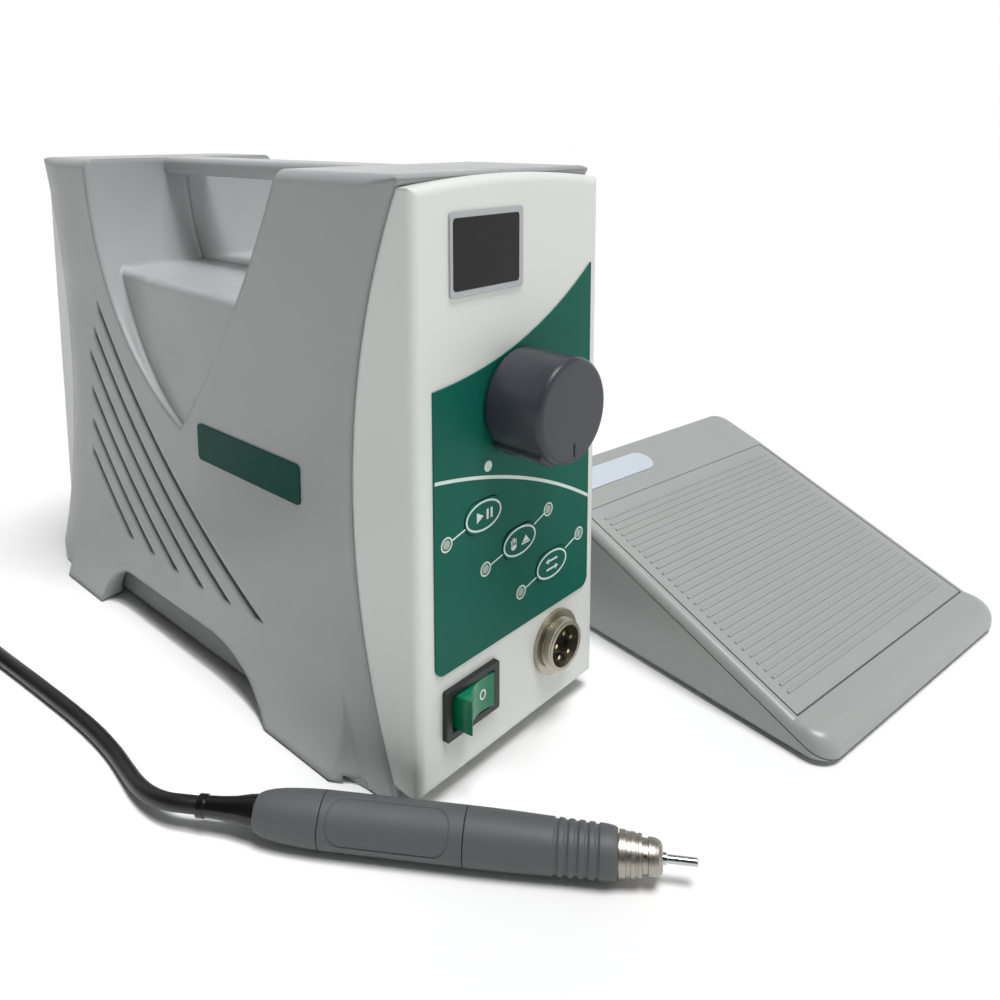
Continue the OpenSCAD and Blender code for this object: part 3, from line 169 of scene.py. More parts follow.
for k in range(int(coil_turns * coil_steps) + 1):
    turn = k / coil_steps
    inward = min(turn, coil_turns - turn)
    climb = min(1, max(0, (turn - coil_turns / 2 + climb_turns / 2) / climb_turns))
    radius = coil_out - coil_pitch * inward
    route.append(Vector((coil_at.x + radius * math.cos(math.tau * turn),
                         coil_at.y + radius * math.sin(math.tau * turn),
                         lead_end.z + climb * coil_pitch)))
plug_y, plug_z = 0.124, 0.01105
plug_at = Vector((route[-1].x, plug_y, plug_z))
straight = Vector((0, cord_d, 0))
tail_start = route[-1] - straight
route += [tail_start, tail_start - straight, (tail_start + plug_at) / 2, plug_at + straight, plug_at]
cable = bpy.data.curves.new("handpiece_cord", "CURVE")
cable.dimensions = "3D"
cable.resolution_u = 3
cable.bevel_depth = cord_d / 2
cable.bevel_resolution = 4
cable.use_fill_caps = True
run = cable.splines.new("BEZIER")
run.bezier_points.add(len(route) - 1)
for bend, point in zip(run.bezier_points, route):
    bend.co = point
    bend.handle_left_type = bend.handle_right_type = "AUTO"
cord = bpy.data.objects.new("handpiece_cord", cable)
bpy.context.scene.collection.objects.link(cord)


def shaded(name, roughness, metallic=0.0):
    """A new material: its shader, its nodes and links, and the piece's own coordinates."""
    material = bpy.data.materials.new(name)
    material.use_nodes = True
    nodes, links = material.node_tree.nodes, material.node_tree.links
    shader = nodes["Principled BSDF"]
    shader.inputs["Roughness"].default_value = roughness
    shader.inputs["Metallic"].default_value = metallic
    return material, shader, nodes, links, nodes.new("ShaderNodeTexCoord").outputs["Object"]


def grained(nodes, links, place, scale, detail=3.0):
    """Noise over the piece, in cells per metre."""
    noise = nodes.new("ShaderNodeTexNoise")
    noise.inputs["Scale"].default_value = scale
    noise.inputs["Detail"].default_value = detail
    links.new(place, noise.inputs["Vector"])
    return noise.outputs["Fac"]


def tinted(nodes, links, factor, low, high, socket):
    """A colour that wanders between two tints."""
    mix = nodes.new("ShaderNodeMix")
    mix.data_type = "RGBA"
    mix.inputs[6].default_value = (*low, 1)
    mix.inputs[7].default_value = (*high, 1)
    links.new(factor, mix.inputs[0])
    links.new(mix.outputs[2], socket)


def ranged(nodes, links, factor, low, high, socket):
    """A number that wanders between two values."""
    span = nodes.new("ShaderNodeMapRange")
    span.inputs["From Min"].default_value = 0.3
    span.inputs["From Max"].default_value = 0.7
    span.inputs["To Min"].default_value = low
    span.inputs["To Max"].default_value = high
    links.new(factor, span.inputs["Value"])
    links.new(span.outputs["Result"], socket)


def relief(nodes, links, height, depth, shader, edge=0.0):
    """Raised grain of the given depth, over corners rounded by the given radius, in metres."""
    bump = nodes.new("ShaderNodeBump")
    bump.inputs["Distance"].default_value = depth
    links.new(height, bump.inputs["Height"])
    links.new(bump.outputs["Normal"], shader.inputs["Normal"])
    if edge:
        corner = nodes.new("ShaderNodeBevel")
        corner.samples = 6
        corner.inputs["Radius"].default_value = edge
        links.new(corner.outputs["Normal"], bump.inputs["Normal"])


def moulded(name, colour, roughness, grain=1400, depth=0.00002, drift=0.04, edge=0.0, shine=0.5):
    """Moulded plastic: fine eroded grain, faint clouds in its colour, small changes of gloss."""
    cloud_cells, wear_cells, gloss_drift = 16, 70, 0.05
    material, shader, nodes, links, place = shaded(name, roughness)
    shader.inputs["Specular IOR Level"].default_value = shine
    clouds = grained(nodes, links, place, cloud_cells)
    tinted(nodes, links, clouds, [c * (1 - drift) for c in colour],
           [min(1, c * (1 + drift)) for c in colour], shader.inputs["Base Color"])
    wear = grained(nodes, links, place, wear_cells, 5)
    ranged(nodes, links, wear, roughness - gloss_drift, roughness + gloss_drift,
           shader.inputs["Roughness"])
    relief(nodes, links, grained(nodes, links, place, grain), depth, shader, edge)
    return material


def dress(material, *names):
    """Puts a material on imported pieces."""
    for name in names:
        slots = frame["nodes"][name].data.materials
        slots.clear()
        slots.append(material)


jacket = moulded("cord_jacket", paint(20, 20, 21), 0.4, grain=900, depth=0.00003)
cable.materials.append(jacket)
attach(cord, "set")
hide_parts("cord_lead", "cord_coil", "cord_tail")

# Cord fittings: a glossy moulded boot at the handpiece, a woven strap round the coil,
# and a turned plug in satin nickel that screws onto the unit's round socket.


def plated(name, colour, roughness, scratch=900):
    """Turned metal with fine marks and a slightly uneven polish."""
    mark_tint, mark_depth, polish, haze = 0.88, 0.000004, 0.06, 0.08
    material, shader, nodes, links, place = shaded(name, roughness, metallic=1.0)
    marks = grained(nodes, links, place, scratch, 4)
    tinted(nodes, links, marks, [c * mark_tint for c in colour], colour, shader.inputs["Base Color"])
    ranged(nodes, links, marks, roughness - polish, roughness + haze, shader.inputs["Roughness"])
    relief(nodes, links, marks, mark_depth, shader)
    return material


dress(moulded("boot_rubber", paint(16, 16, 17), 0.17, grain=500, depth=0.00002, edge=0.0004),
      "cord_boot")
dress(moulded("tie_strap", paint(38, 38, 40), 0.8, grain=2600, depth=0.00008), "cord_tie")
nickel = plated("satin_nickel", paint(186, 180, 164), 0.37)
dress(nickel, "cord_plug", "socket_shell", "socket_nut", "grip_sleeve")

# Base: a painted tray closes the unit from below, held by steel screws. Four strips of grey rubber
# are let into the undersides of the feet, with tips that taper as the feet do.
dress(moulded("tray_paint", paint(104, 106, 106), 0.5, grain=700, depth=0.00004), "base_tray")
rubber = moulded("foot_rubber", paint(30, 30, 31), 0.75, grain=1100, depth=0.00006)
dress(rubber, "pedal_feet", "pedal_gland")


def block(low, high):
    """A box between two corners."""
    bpy.ops.object.select_all(action="DESELECT")
    bpy.ops.mesh.primitive_cube_add(size=1)
    box = bpy.context.object
    box.scale = [b - a for a, b in zip(low, high)]
    box.location = [(a + b) / 2 for a, b in zip(low, high)]
    bpy.ops.object.transform_apply()
    return box


def joined(shapes, name):
    """Joins pieces into the first of them, under one name."""
    bpy.ops.object.select_all(action="DESELECT")
    for shape in shapes:
        shape.select_set(True)
    bpy.context.view_layer.objects.active = shapes[0]
    if len(shapes) > 1:
        bpy.ops.object.join()
    piece = bpy.context.object
    piece.name = name
    return piece


pad_low, pad_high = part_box("unit_feet")
pad_w, pad_front_l, pad_rear_l, pad_round, pad_taper = 0.005, 0.026, 0.030, 0.0006, 0.0036
near = 0.00001
pads = []
for outer, inward in ((pad_low[0], 1), (pad_high[0], -1)):
    for tip, heel in ((pad_low[1], pad_low[1] + pad_front_l), (pad_high[1], pad_high[1] - pad_rear_l)):
        inner = outer + inward * pad_w
        pad = block((min(outer, inner), min(tip, heel), pad_low[2]),
                    (max(outer, inner), max(tip, heel), pad_high[2]))
        for point in pad.data.vertices:
            if abs(point.co.x - outer) < near and abs(point.co.y - tip) < near:
                point.co.x += inward * pad_taper
        pads.append(pad)
        bpy.ops.object.mode_set(mode="EDIT")
        bpy.ops.mesh.select_all(action="SELECT")
        bpy.ops.mesh.bevel(offset=pad_round, segments=3, affect="EDGES")
        bpy.ops.object.mode_set(mode="OBJECT")
pads = joined(pads, "foot_strips")
bpy.ops.object.shade_smooth_by_angle(angle=math.radians(40))
pads.data.materials.append(moulded("pad_rubber", paint(150, 153, 153), 0.6, grain=1100, depth=0.00004))
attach(pads, "set")
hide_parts("unit_feet")
steel = plated("bright_steel", paint(198, 199, 200), 0.16)
dress(steel, "unit_screws", "pedal_screws", "pot_shaft", "speed_pot", "treadle_pin",
      "sensor_magnet", "motor_rotor", "spindle", "tool_shank", "bearings")

# Housing: two shells moulded in mid grey plastic with a satin skin and soft corners.
# They meet in the middle plane and carry the handle bar, the side notches and the vents.
dress(moulded("housing_plastic", paint(161, 164, 164), 0.34, edge=0.0034),
      "housing_left", "housing_right")

# Front and rear panels: off-white moulded plastic, smoother than the shells. The front one has round
# edges and a crowned top. The rear one is a plate with cheeks, held between the shells.
panel_white = moulded("panel_plastic", paint(222, 224, 219), 0.36, grain=1800, depth=0.00001,
                      drift=0.012, edge=0.0018)
dress(panel_white, "front_panel", "rear_panel")

# Control overlay: a printed film with a satin top coat, glued to the panel. Its pale printing is
# an arc under the knob, a start dot, rings round the lamps, and lines that tie them to the keys.
film_green = moulded("film_green", paint(18, 95, 80), 0.38, grain=2400, depth=0.000005,
                     drift=0.025, shine=0.12)
dress(film_green, "control_overlay")
panel_x, panel_y = -0.070, -0.081
film_t, print_t = 0.0006, 0.00006
film_y = panel_y - film_t
mint = moulded("mint_ink", paint(214, 226, 219), 0.4, grain=2400, depth=0.000003, drift=0.02)


def flat_shape(sides, place, half, turn=0.0):
    """A filled flat shape in millimetres: 3 sides for a wedge, 4 for a block, more for a dot."""
    bpy.ops.object.select_all(action="DESELECT")
    bpy.ops.mesh.primitive_circle_add(vertices=sides, radius=1, fill_type="NGON")
    shape = bpy.context.object
    if sides == 4:
        shape.rotation_euler.z = math.radians(45)
        shape.scale = (math.sqrt(2),) * 3
        bpy.ops.object.transform_apply()
    shape.scale = (half[0] / 1000, half[1] / 1000, 1)
    bpy.ops.object.transform_apply()
    shape.rotation_euler.z = math.radians(turn)
    shape.location = (place[0] / 1000, place[1] / 1000, 0)
    bpy.ops.object.transform_apply()
    return shape


def flat_ring(place, half, width, sides=64):
    """An oval line in millimetres, of one width all round."""
    bpy.ops.object.select_all(action="DESELECT")
    bpy.ops.mesh.primitive_circle_add(vertices=sides, radius=1)
    ring = bpy.context.object
    ring.scale = (half[0] / 1000, half[1] / 1000, 1)
    bpy.ops.object.transform_apply()
    bpy.ops.object.mode_set(mode="EDIT")
    bpy.ops.mesh.select_all(action="SELECT")
    bpy.ops.mesh.extrude_edges_move()
    bpy.ops.transform.resize(value=((half[0] - width) / half[0], (half[1] - width) / half[1], 1),
                             center_override=(0, 0, 0))
    bpy.ops.object.mode_set(mode="OBJECT")
    ring.location = (place[0] / 1000, place[1] / 1000, 0)
    bpy.ops.object.transform_apply()
    return ring


def flat_line(start, end, width):
    """A straight line in millimetres."""
    run_x, run_z = end[0] - start[0], end[1] - start[1]
    return flat_shape(4, ((start[0] + end[0]) / 2, (start[1] + end[1]) / 2),
                      (math.hypot(run_x, run_z) / 2, width / 2),
                      math.degrees(math.atan2(run_z, run_x)))


def stand_up(shapes, name, place, thick, material, body, turn=0.0):
    """Joins flat shapes, stands them upright on a face, and gives them thickness and a finish."""
    piece = joined(shapes, name)
    for face in piece.data.polygons:
        if face.normal.z < 0:
            face.flip()
    skin = piece.modifiers.new("skin", "SOLIDIFY")
    skin.thickness = thick
    skin.offset = 1
    bpy.ops.object.modifier_apply(modifier="skin")
    piece.rotation_euler = (math.radians(90), 0, math.radians(turn))
    piece.location = place
    bpy.ops.object.transform_apply()
    piece.data.materials.clear()
    piece.data.materials.append(material)
    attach(piece, body)


lamp_spots = ((-35.1, 92), (17.6, 86.5), (-16.5, 76.4), (36.7, 70.3), (2.3, 60.2))
key_spots = ((-17.7, 96.3), (1.1, 80.4), (19.6, 64.5))
arc_at, arc_r, arc_w = (-70.8, -97.7), 214.6, 1.2
arc_left, arc_right, arc_low = -0.0402, 0.0422, 0.02
arc = flat_ring(arc_at, (arc_r, arc_r), arc_w, sides=512)
bpy.ops.object.mode_set(mode="EDIT")
for point, away in (((arc_left, 0, 0), (-1, 0, 0)), ((arc_right, 0, 0), (1, 0, 0)),
                    ((0, arc_low, 0), (0, -1, 0))):
    bpy.ops.mesh.select_all(action="SELECT")
    bpy.ops.mesh.bisect(plane_co=point, plane_no=away, clear_outer=True)
bpy.ops.object.mode_set(mode="OBJECT")
dot_at, dot_r, lamp_ring_r, line_w = (-15.1, 112.8), 1.9, 2.6, 0.55
key_half, key_room, lamp_room = (9, 5.5), 1.03, 2.5
printing = [arc, flat_shape(32, dot_at, (dot_r, dot_r))]
printing += [flat_ring(spot, (lamp_ring_r, lamp_ring_r), line_w) for spot in lamp_spots]
for key, lamp in ((0, 0), (1, 1), (1, 2), (2, 3), (2, 4)):
    (kx, kz), (lx, lz) = key_spots[key], lamp_spots[lamp]
    reach = key_room / math.hypot((lx - kx) / key_half[0], (lz - kz) / key_half[1])
    gap = lamp_room / math.hypot(lx - kx, lz - kz)
    printing.append(flat_line((kx + (lx - kx) * reach, kz + (lz - kz) * reach),
                              (lx + (kx - lx) * gap, lz + (kz - lz) * gap), line_w))
stand_up(printing, "overlay_printing", (panel_x, film_y, 0), print_t, mint, "set")

# Keys: three oval caps under the film's skin, each with a printed ring and a plain sign,
# for start and stop, for hand or foot control, and for the direction of turning.
dress(film_green, "key_run", "key_mode", "key_direction")


def arrow(place, length, way):
    """A straight arrow in millimetres, to the right or the left."""
    x, z = place
    shaft_w, shaft_in, head_r, head_in = 0.75, 1, 1.25, 0.7
    return [flat_line((x - way * length / 2, z), (x + way * (length / 2 - shaft_in), z), shaft_w),
            flat_shape(3, (x + way * (length / 2 - head_in), z), (head_r, head_r), -90 * way)]


(run_x, run_z), (mode_x, mode_z), (turn_x, turn_z) = key_spots
key_ring, key_ring_w = (8.8, 5.3), 0.7
wedge_x, wedge_r, bar_half, bar_w = -2.4, 2.2, 1.8, 1.0
start_stop = [flat_shape(3, (run_x + wedge_x, run_z), (wedge_r, wedge_r), -90)]
start_stop += [flat_line((run_x + bar_x, run_z - bar_half), (run_x + bar_x, run_z + bar_half), bar_w)
               for bar_x in (1.8, 3.8)]
palm_at, palm_half = (mode_x - 3.4, mode_z - 1.0), (1.5, 1.4)
knuckle_x, knuckle_z, knuckle_step = mode_x - 4.5, mode_z - 0.6, 0.74
fingertip_x, fingertip_step, finger_w = mode_x - 4.6, 0.82, 0.5
hand_foot = [flat_shape(24, palm_at, palm_half)]
for k, fingertip_z in enumerate((1.5, 2.1, 2.1, 1.5)):
    hand_foot.append(flat_line((knuckle_x + knuckle_step * k, knuckle_z),
                               (fingertip_x + fingertip_step * k, mode_z + fingertip_z), finger_w))
ramp_at, ramp_half = (mode_x + 3.2, mode_z - 0.4), (2.2, 1.5)
sole_half, sole_drop, sole_w = 2.3, 1.3, 0.6
sole_z = ramp_at[1] - sole_drop
hand_foot += [flat_shape(3, ramp_at, ramp_half),
              flat_line((ramp_at[0] - sole_half, sole_z), (ramp_at[0] + sole_half, sole_z), sole_w)]
arrow_l, arrow_rise = 6.4, 1.6
turning = arrow((turn_x, turn_z + arrow_rise), arrow_l, -1)
turning += arrow((turn_x, turn_z - arrow_rise), arrow_l, 1)
for spot, sign, key, body in zip(key_spots, (start_stop, hand_foot, turning),
                                 ("key_run", "key_mode", "key_direction"),
                                 ("run_key", "mode_key", "direction_key")):
    stand_up([flat_ring(spot, key_ring, key_ring_w)] + sign, key + "_sign",
             (panel_x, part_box(key)[0][1], 0), print_t, mint, body)

# Lamps: five small lenses moulded in clear plastic. They end level with the film, inside its
# printed rings.
dress(moulded("lamp_lens", paint(158, 176, 168), 0.18, grain=900, depth=0.000004),
      "indicator_lamps")

# Display: a satin silver frame round smoked glass, with the dark module behind it. A thin smoked
# lens with round corners is glued over the glass and the inner edge of the frame.
dress(moulded("frame_silver", paint(176, 178, 180), 0.35, grain=2000, edge=0.0004), "display_frame")
smoked = moulded("smoked_glass", paint(26, 27, 26), 0.16, grain=300, depth=0.000002, shine=0.25)
dress(smoked, "display_window")
black = moulded("fitting_plastic", paint(30, 30, 32), 0.42, grain=1600, edge=0.0005)
dress(black, "display_module")
lens_corner, lens_left, lens_rim = 0.0014, 0.0012, 0.0003
glass_low, glass_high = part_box("display_window")
lens_low = (glass_low[0] - lens_left, glass_low[2] - lens_rim)
lens_high = (glass_high[0] + lens_rim, glass_high[2] + lens_rim)
lens = flat_shape(4, [500 * (a + b) for a, b in zip(lens_low, lens_high)],
                  [500 * (b - a) for a, b in zip(lens_low, lens_high)])
bpy.ops.object.mode_set(mode="EDIT")
bpy.ops.mesh.select_all(action="SELECT")
bpy.ops.mesh.bevel(offset=lens_corner, segments=6, affect="VERTICES")
bpy.ops.object.mode_set(mode="OBJECT")
stand_up([lens], "display_lens", (0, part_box("display_frame")[0][1], 0), print_t, smoked, "set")

# Speed knob: a dark cap moulded in hard plastic, with a satin skin, a grip rib along its side and
# a line cut in its face. It is pushed onto the potentiometer's shaft.
dress(moulded("knob_plastic", paint(56, 58, 66), 0.34, grain=1900, depth=0.00002, edge=0.0012,
              shine=0.42), "speed_knob")

# Power rocker: a clear green paddle over a lamp, in a black bezel. Its face is one deep dish, high
# at the end that stands out, with the usual marks for on and off printed on its two halves.
dress(black, "power_switch")


def rod(radius, start, length):
    """A round bar that rises from a point."""
    bpy.ops.object.select_all(action="DESELECT")
    bpy.ops.mesh.primitive_cylinder_add(vertices=40, radius=radius, depth=length,
                                        location=(0, 0, length / 2))
    bar = bpy.context.object
    bpy.ops.object.transform_apply()
    bar.location = start
    bpy.ops.object.transform_apply()
    return bar


def carve(piece, tool, operation="DIFFERENCE"):
    """Cuts a solid with another, or joins the two, and clears the tool away."""
    step = piece.modifiers.new("carve", "BOOLEAN")
    step.operation = operation
    step.solver = "EXACT"
    step.object = tool
    bpy.context.view_layer.objects.active = piece
    bpy.ops.object.modifier_apply(modifier="carve")
    bpy.data.objects.remove(tool)


rocker_at, rocker_turn = Vector((panel_x - 0.024, panel_y + 0.001, 0.032)), 9
paddle_half, paddle_h, paddle_out, paddle_back = 0.0087, 0.0122, 0.0078, 0.0015
dish_r, dish_x, dish_y = 0.01357, 0.00175, -0.01686
paddle = block((-paddle_half, -paddle_out, -paddle_h / 2), (paddle_half, paddle_back, paddle_h / 2))
paddle.name = "rocker_paddle"
carve(paddle, rod(dish_r, (dish_x, dish_y, -paddle_h), 2 * paddle_h))
bpy.ops.object.select_all(action="DESELECT")
paddle.select_set(True)
paddle.rotation_euler.z = math.radians(rocker_turn)
paddle.location = rocker_at
bpy.ops.object.transform_apply()
bpy.ops.object.shade_smooth_by_angle(angle=math.radians(20))
paddle.data.materials.clear()
paddle.data.materials.append(
    moulded("rocker_plastic", paint(10, 122, 84), 0.17, grain=800, depth=0.000004, edge=0.0006))
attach(paddle, "rocker")
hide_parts("power_rocker")
white = moulded("white_ink", paint(232, 236, 232), 0.4, grain=2400, depth=0.000003, drift=0.02)
mark_lift = 0.00009
on_x, on_half, on_w = -0.0042, 1.7, 0.7
off_x, off_half, off_w = 0.0040, (1.5, 1.9), 0.55
for across, mark, name in ((on_x, flat_line((0, -on_half), (0, on_half), on_w), "rocker_on_mark"),
                           (off_x, flat_ring((0, 0), off_half, off_w), "rocker_off_mark")):
    reach = math.sqrt(dish_r ** 2 - (across - dish_x) ** 2)
    spot = Vector((across, dish_y + reach - mark_lift, 0))
    spot.rotate(Euler((0, 0, math.radians(rocker_turn))))
    lean = math.degrees(math.atan2(dish_x - across, reach))
    stand_up([mark], name, rocker_at + spot, print_t, white, "rocker",
             turn=rocker_turn + lean)

# Round socket: a turned shell in satin nickel with a rolled thread, held by a nut behind the panel.
# In it sit a black insert with its key and five gilded pins.
dress(moulded("insert_plastic", paint(12, 12, 13), 0.42, grain=1600), "socket_insert")
dress(plated("contact_gold", paint(226, 214, 176), 0.15), "socket_pins")


def wound(sides, wire_r, turn_r, pitch, turns, steps, tip=0.0):
    """A wire wound up round the Z axis and closed at its ends; tip turns its section."""
    bpy.ops.object.select_all(action="DESELECT")
    bpy.ops.mesh.primitive_circle_add(vertices=sides, radius=wire_r)
    wire = bpy.context.object
    wire.rotation_euler = (math.radians(90), tip, 0)
    wire.location.x = turn_r
    bpy.ops.object.transform_apply()
    winding = wire.modifiers.new("winding", "SCREW")
    winding.axis = "Z"
    winding.screw_offset = pitch
    winding.iterations = turns
    winding.steps = winding.render_steps = steps
    bpy.ops.object.modifier_apply(modifier="winding")
    bpy.ops.object.mode_set(mode="EDIT")
    bpy.ops.mesh.select_all(action="SELECT")
    bpy.ops.mesh.remove_doubles(threshold=0.000001)
    bpy.ops.mesh.fill_holes(sides=sides)
    bpy.ops.mesh.select_all(action="SELECT")
    bpy.ops.mesh.normals_make_consistent(inside=False)
    bpy.ops.object.mode_set(mode="OBJECT")
    return wire


thread_at = (panel_x + 0.0226, panel_y - 0.00175, 0.0319)
thread_r, thread_ridge, thread_pitch, thread_turns = 0.00935, 0.0004, 0.00095, 4
thread = wound(3, thread_ridge, thread_r, thread_pitch, thread_turns, 48, tip=math.radians(90))
thread.name = "socket_thread_ridge"
bpy.ops.object.shade_smooth_by_angle(angle=math.radians(30))
thread.rotation_euler = (math.radians(90), 0, 0)
thread.location = thread_at
bpy.ops.object.transform_apply()
thread.data.materials.append(nickel)
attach(thread, "set")

# Rear fittings: the mains inlet, the fuse holder and the pedal jack, all moulded in black plastic
# and clipped into the rear panel.
dress(black, "mains_inlet", "fuse_holder", "pedal_jack")

# Side plate: a bare strip of dark green film with round corners. It is glued to the left shell,
# near the point of the notch.
dress(moulded("plate_green", paint(0, 68, 56), 0.38, grain=2400, depth=0.000006, drift=0.03,
              edge=0.0003, shine=0.08), "side_plate")

# Inside: circuit boards, an aluminium heat sink, sleeved capacitors and a copper-wound transformer.
# They stand on the tray and behind the front panel, and show only through the vents.
dress(moulded("circuit_board", paint(38, 92, 62), 0.4, grain=500), "control_board", "drive_board",
      "position_sensor")
dress(moulded("can_sleeve", paint(34, 36, 44), 0.35, grain=600), "capacitors")
dress(plated("extruded_aluminium", paint(176, 178, 180), 0.4), "heat_sink")
dress(plated("copper_winding", paint(160, 104, 62), 0.35, scratch=400), "transformer", "motor_stator")

# Foot pedal: a grey moulded cover, one shell with a rolled nose, round corners and a parting line
# along its sides. Four screws hold it to the base, and a pale bare plate lies on its deck.
pedal_grey = moulded("pedal_plastic", paint(160, 164, 162), 0.34, edge=0.0005)
dress(pedal_grey, "pedal_base")
dress(moulded("pale_plate", paint(196, 204, 213), 0.38, grain=2400, depth=0.000004, drift=0.01),
      "pedal_plate")
pedal_at, pedal_yaw = (0.0645, -0.1833, 0), math.radians(-8.7)
pedal_w, pedal_l = 0.146, 0.157
pedal_wall, pedal_rim = 0.0025, 0.0045
pedal_low, base_top = 0.0025, 0.005
treadle_u, deck_u = 0.015, 0.127
nose_z, treadle_z = 0.0114, 0.01216
pedal_slope, deck_slope = math.radians(20), math.radians(18)
deck_z = treadle_z + (deck_u - treadle_u) * math.tan(pedal_slope)


def pedal_top(u):
    """Height of the cover at a distance from its nose: a short apron, the long slope, the deck."""
    if u < treadle_u:
        return nose_z + (treadle_z - nose_z) * u / treadle_u
    if u < deck_u:
        return treadle_z + (u - treadle_u) * math.tan(pedal_slope)
    return deck_z + (u - deck_u) * math.tan(deck_slope)


def pedal_wedge(inset, low, nose, edge, corner):
    """The pedal's wedge, drawn in by a wall: round plan corners, then rolled upper edges."""
    half, front, back = pedal_w / 2 - inset, inset, pedal_l - inset
    start_h, upward, sideways = 0.01, 0.5, 0.3
    wedge = block((-half, front, low), (half, back, low + start_h))
    bpy.ops.object.mode_set(mode="EDIT")
    for u in (treadle_u, deck_u):
        bpy.ops.mesh.select_all(action="SELECT")
        bpy.ops.mesh.bisect(plane_co=(0, u, 0), plane_no=(0, 1, 0))
    bpy.ops.mesh.select_all(action="DESELECT")
    bpy.ops.mesh.select_mode(type="EDGE")
    bpy.ops.object.mode_set(mode="OBJECT")
    shape = wedge.data
    for point in shape.vertices:
        if point.co.z > low + start_h / 2:
            point.co.z = pedal_top(point.co.y) - inset
    for line in shape.edges:
        a, b = (shape.vertices[k].co for k in line.vertices)
        upright = (a - b).to_2d().length < near
        line.select = upright and min(abs(a.y - front), abs(a.y - back)) < near
    bpy.ops.object.mode_set(mode="EDIT")
    bpy.ops.mesh.bevel(offset=corner, segments=10, affect="EDGES")
    bpy.ops.object.mode_set(mode="OBJECT")
    slopes = {}
    for face in shape.polygons:
        for key in face.edge_keys:
            slopes.setdefault(key, []).append(face.normal.z)
    weights = shape.attributes.new("bevel_weight_edge", "FLOAT", "EDGE")
    for line in shape.edges:
        if max(slopes[line.key]) > upward and abs(min(slopes[line.key])) < sideways:
            away = sum(shape.vertices[k].co.y for k in line.vertices) / 2 - front
            blend = min(1, away / corner)
            weights.data[line.index].value = 1 + (edge / nose - 1) * blend
    roll = wedge.modifiers.new("roll", "BEVEL")
    roll.limit_method = "WEIGHT"
    roll.width = nose
    roll.segments = 9
    roll.use_clamp_overlap = False
    bpy.ops.object.modifier_apply(modifier="roll")
    return wedge


below, above = -0.01, 0.1
outer_rolls = (0.0065, 0.0036, 0.009)
inner_rolls = (0.004, 0.0015, 0.0065)
line_rolls = (0.006, 0.003, 0.0085)
cover = pedal_wedge(0, pedal_low, *outer_rolls)
cover.name = "pedal_cover_shell"
carve(cover, pedal_wedge(pedal_wall, below, *inner_rolls))
window, deck_lip, lip_reach, lip_t = pedal_w / 2 - pedal_rim, 0.0006, 0.0015, 0.0006
carve(cover, block((-window, treadle_u, base_top), (window, deck_u - lip_reach, above)))
lip_end = (deck_u - deck_lip - treadle_u) / math.cos(pedal_slope)
undercut_l, undercut_h = 0.005, 0.008
undercut = block((-window, lip_end - undercut_l, -undercut_h), (window, lip_end, -lip_t))
undercut.rotation_euler.x = pedal_slope
undercut.location = (0, treadle_u, treadle_z)
bpy.ops.object.transform_apply()
carve(cover, undercut)
line_t, line_depth, line_drop = 0.0005, 0.0006, 0.0044
slab_half, slab_front, slab_back = 0.1, -0.05, 0.25
parting = block((-slab_half, slab_front, -line_t / 2), (slab_half, slab_back, line_t / 2))
parting.rotation_euler.x = pedal_slope
parting.location = (0, treadle_u, treadle_z - line_drop)
bpy.ops.object.transform_apply()
carve(parting, pedal_wedge(line_depth, below, *line_rolls))
carve(cover, parting)
boss_r, boss_in, nose_boss_top = 0.003, 0.012, 0.0105
boss_x = pedal_w / 2 - pedal_wall - boss_r
for side in (-1, 1):
    for u, top in ((boss_in, nose_boss_top), (deck_u + boss_in, deck_z)):
        boss = rod(boss_r, (side * boss_x, u, base_top), top - base_top)
        carve(cover, boss, "UNION")


def lay_on_table(piece, material, smooth):
    """Carries a piece from the pedal's own frame, nose at the origin, to the pedal's place."""
    bpy.ops.object.select_all(action="DESELECT")
    piece.select_set(True)
    bpy.context.view_layer.objects.active = piece
    piece.rotation_euler.z = pedal_yaw
    piece.location = pedal_at
    bpy.ops.object.transform_apply()
    bpy.ops.object.shade_smooth_by_angle(angle=math.radians(smooth))
    piece.data.materials.clear()
    piece.data.materials.append(material)
    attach(piece, "set")


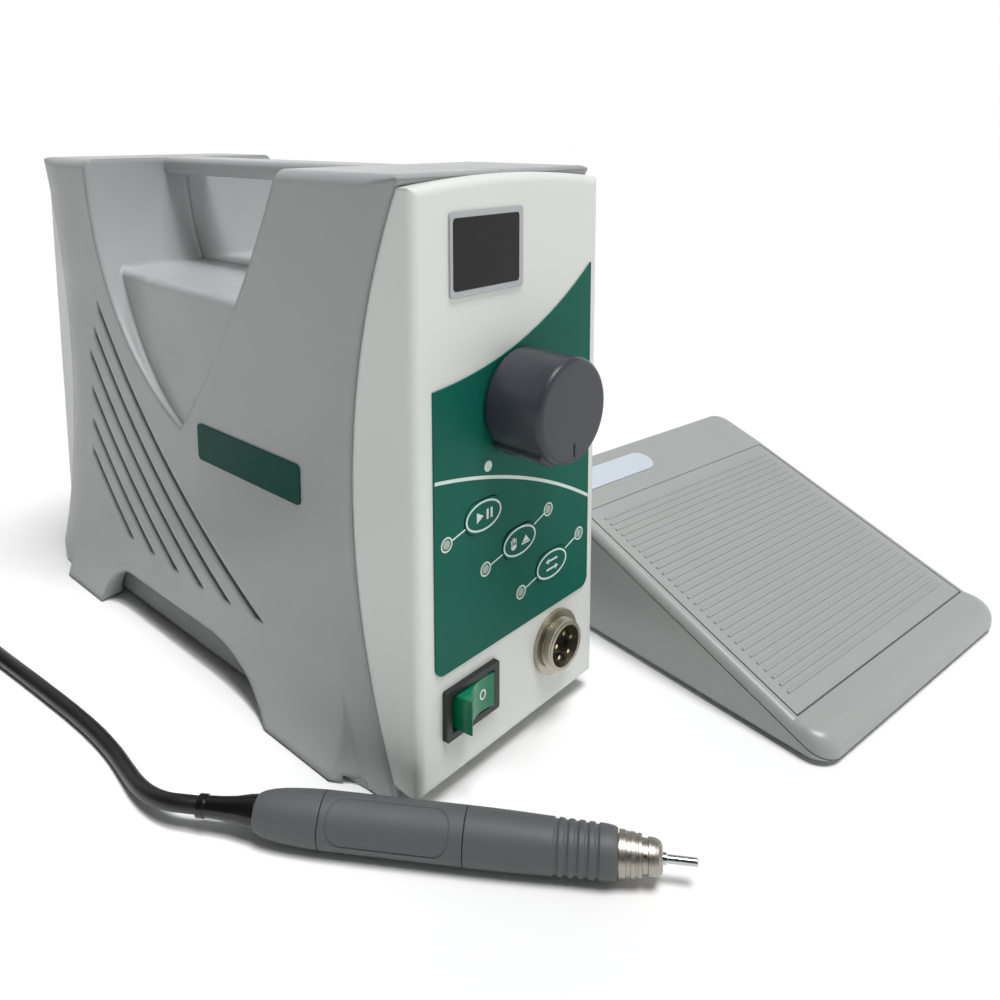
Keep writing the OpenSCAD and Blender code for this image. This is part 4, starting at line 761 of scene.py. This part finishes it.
lay_on_table(cover, pedal_grey, smooth=13)
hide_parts("pedal_cover")

# Return springs: two coils of steel wire that stand on the base and push the treadle up.
wire_d, spring_r, spring_turns = 0.0008, 0.0056, 7
spring_x, spring_u = 0.036, deck_u - 0.023
spring_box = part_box("treadle_springs")
spring_h = spring_box[1][2] - spring_box[0][2] - wire_d
springs = []
for side in (-1, 1):
    spring = wound(10, wire_d / 2, spring_r, spring_h / spring_turns, spring_turns, 36)
    spring.location = (side * spring_x, spring_u, spring_box[0][2] + wire_d / 2)
    bpy.ops.object.transform_apply()
    springs.append(spring)
springs = joined(springs, "return_springs")
lay_on_table(springs, steel, smooth=40)
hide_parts("treadle_springs")
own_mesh(springs)

# Treadle: the ribbed plate that the foot presses, moulded in the cover's grey plastic. It turns on
# a steel pin near the pedal's nose.
dress(moulded("treadle_plastic", paint(160, 164, 162), 0.34, edge=0.0005), "treadle")

# Handpiece: dark grey sleeves with a soft-touch skin, a turning grip, and a turned nickel nose with
# its collet. A thin lining under the motor body's skin keeps the groove round its pad shallow.
soft_touch = moulded("soft_touch", paint(85, 89, 89), 0.55, grain=2200, depth=0.00002, edge=0.0006)
dress(soft_touch, "rear_cap", "motor_body", "front_grip")
lining_r, lining_t, lining_from, lining_to = 0.00811, 0.0003, 0.0238, 0.0640
bpy.ops.object.select_all(action="DESELECT")
bpy.ops.mesh.primitive_cylinder_add(vertices=128, radius=lining_r, depth=lining_to - lining_from,
                                    end_fill_type="NOTHING")
lining = bpy.context.object
lining.name = "motor_lining"
tube = lining.modifiers.new("tube", "SOLIDIFY")
tube.thickness = lining_t
bpy.ops.object.modifier_apply(modifier="tube")
bpy.ops.object.shade_smooth_by_angle(angle=math.radians(30))
lining.rotation_euler = (math.radians(90), 0, math.radians(90) + hand_yaw)
lining.location = hand_at + hand_dir * (lining_from + lining_to) / 2
bpy.ops.object.transform_apply()
lining.data.materials.append(soft_touch)
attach(lining, "set")
dress(plated("nose_nickel", paint(176, 171, 161), 0.35), "nose_cone")
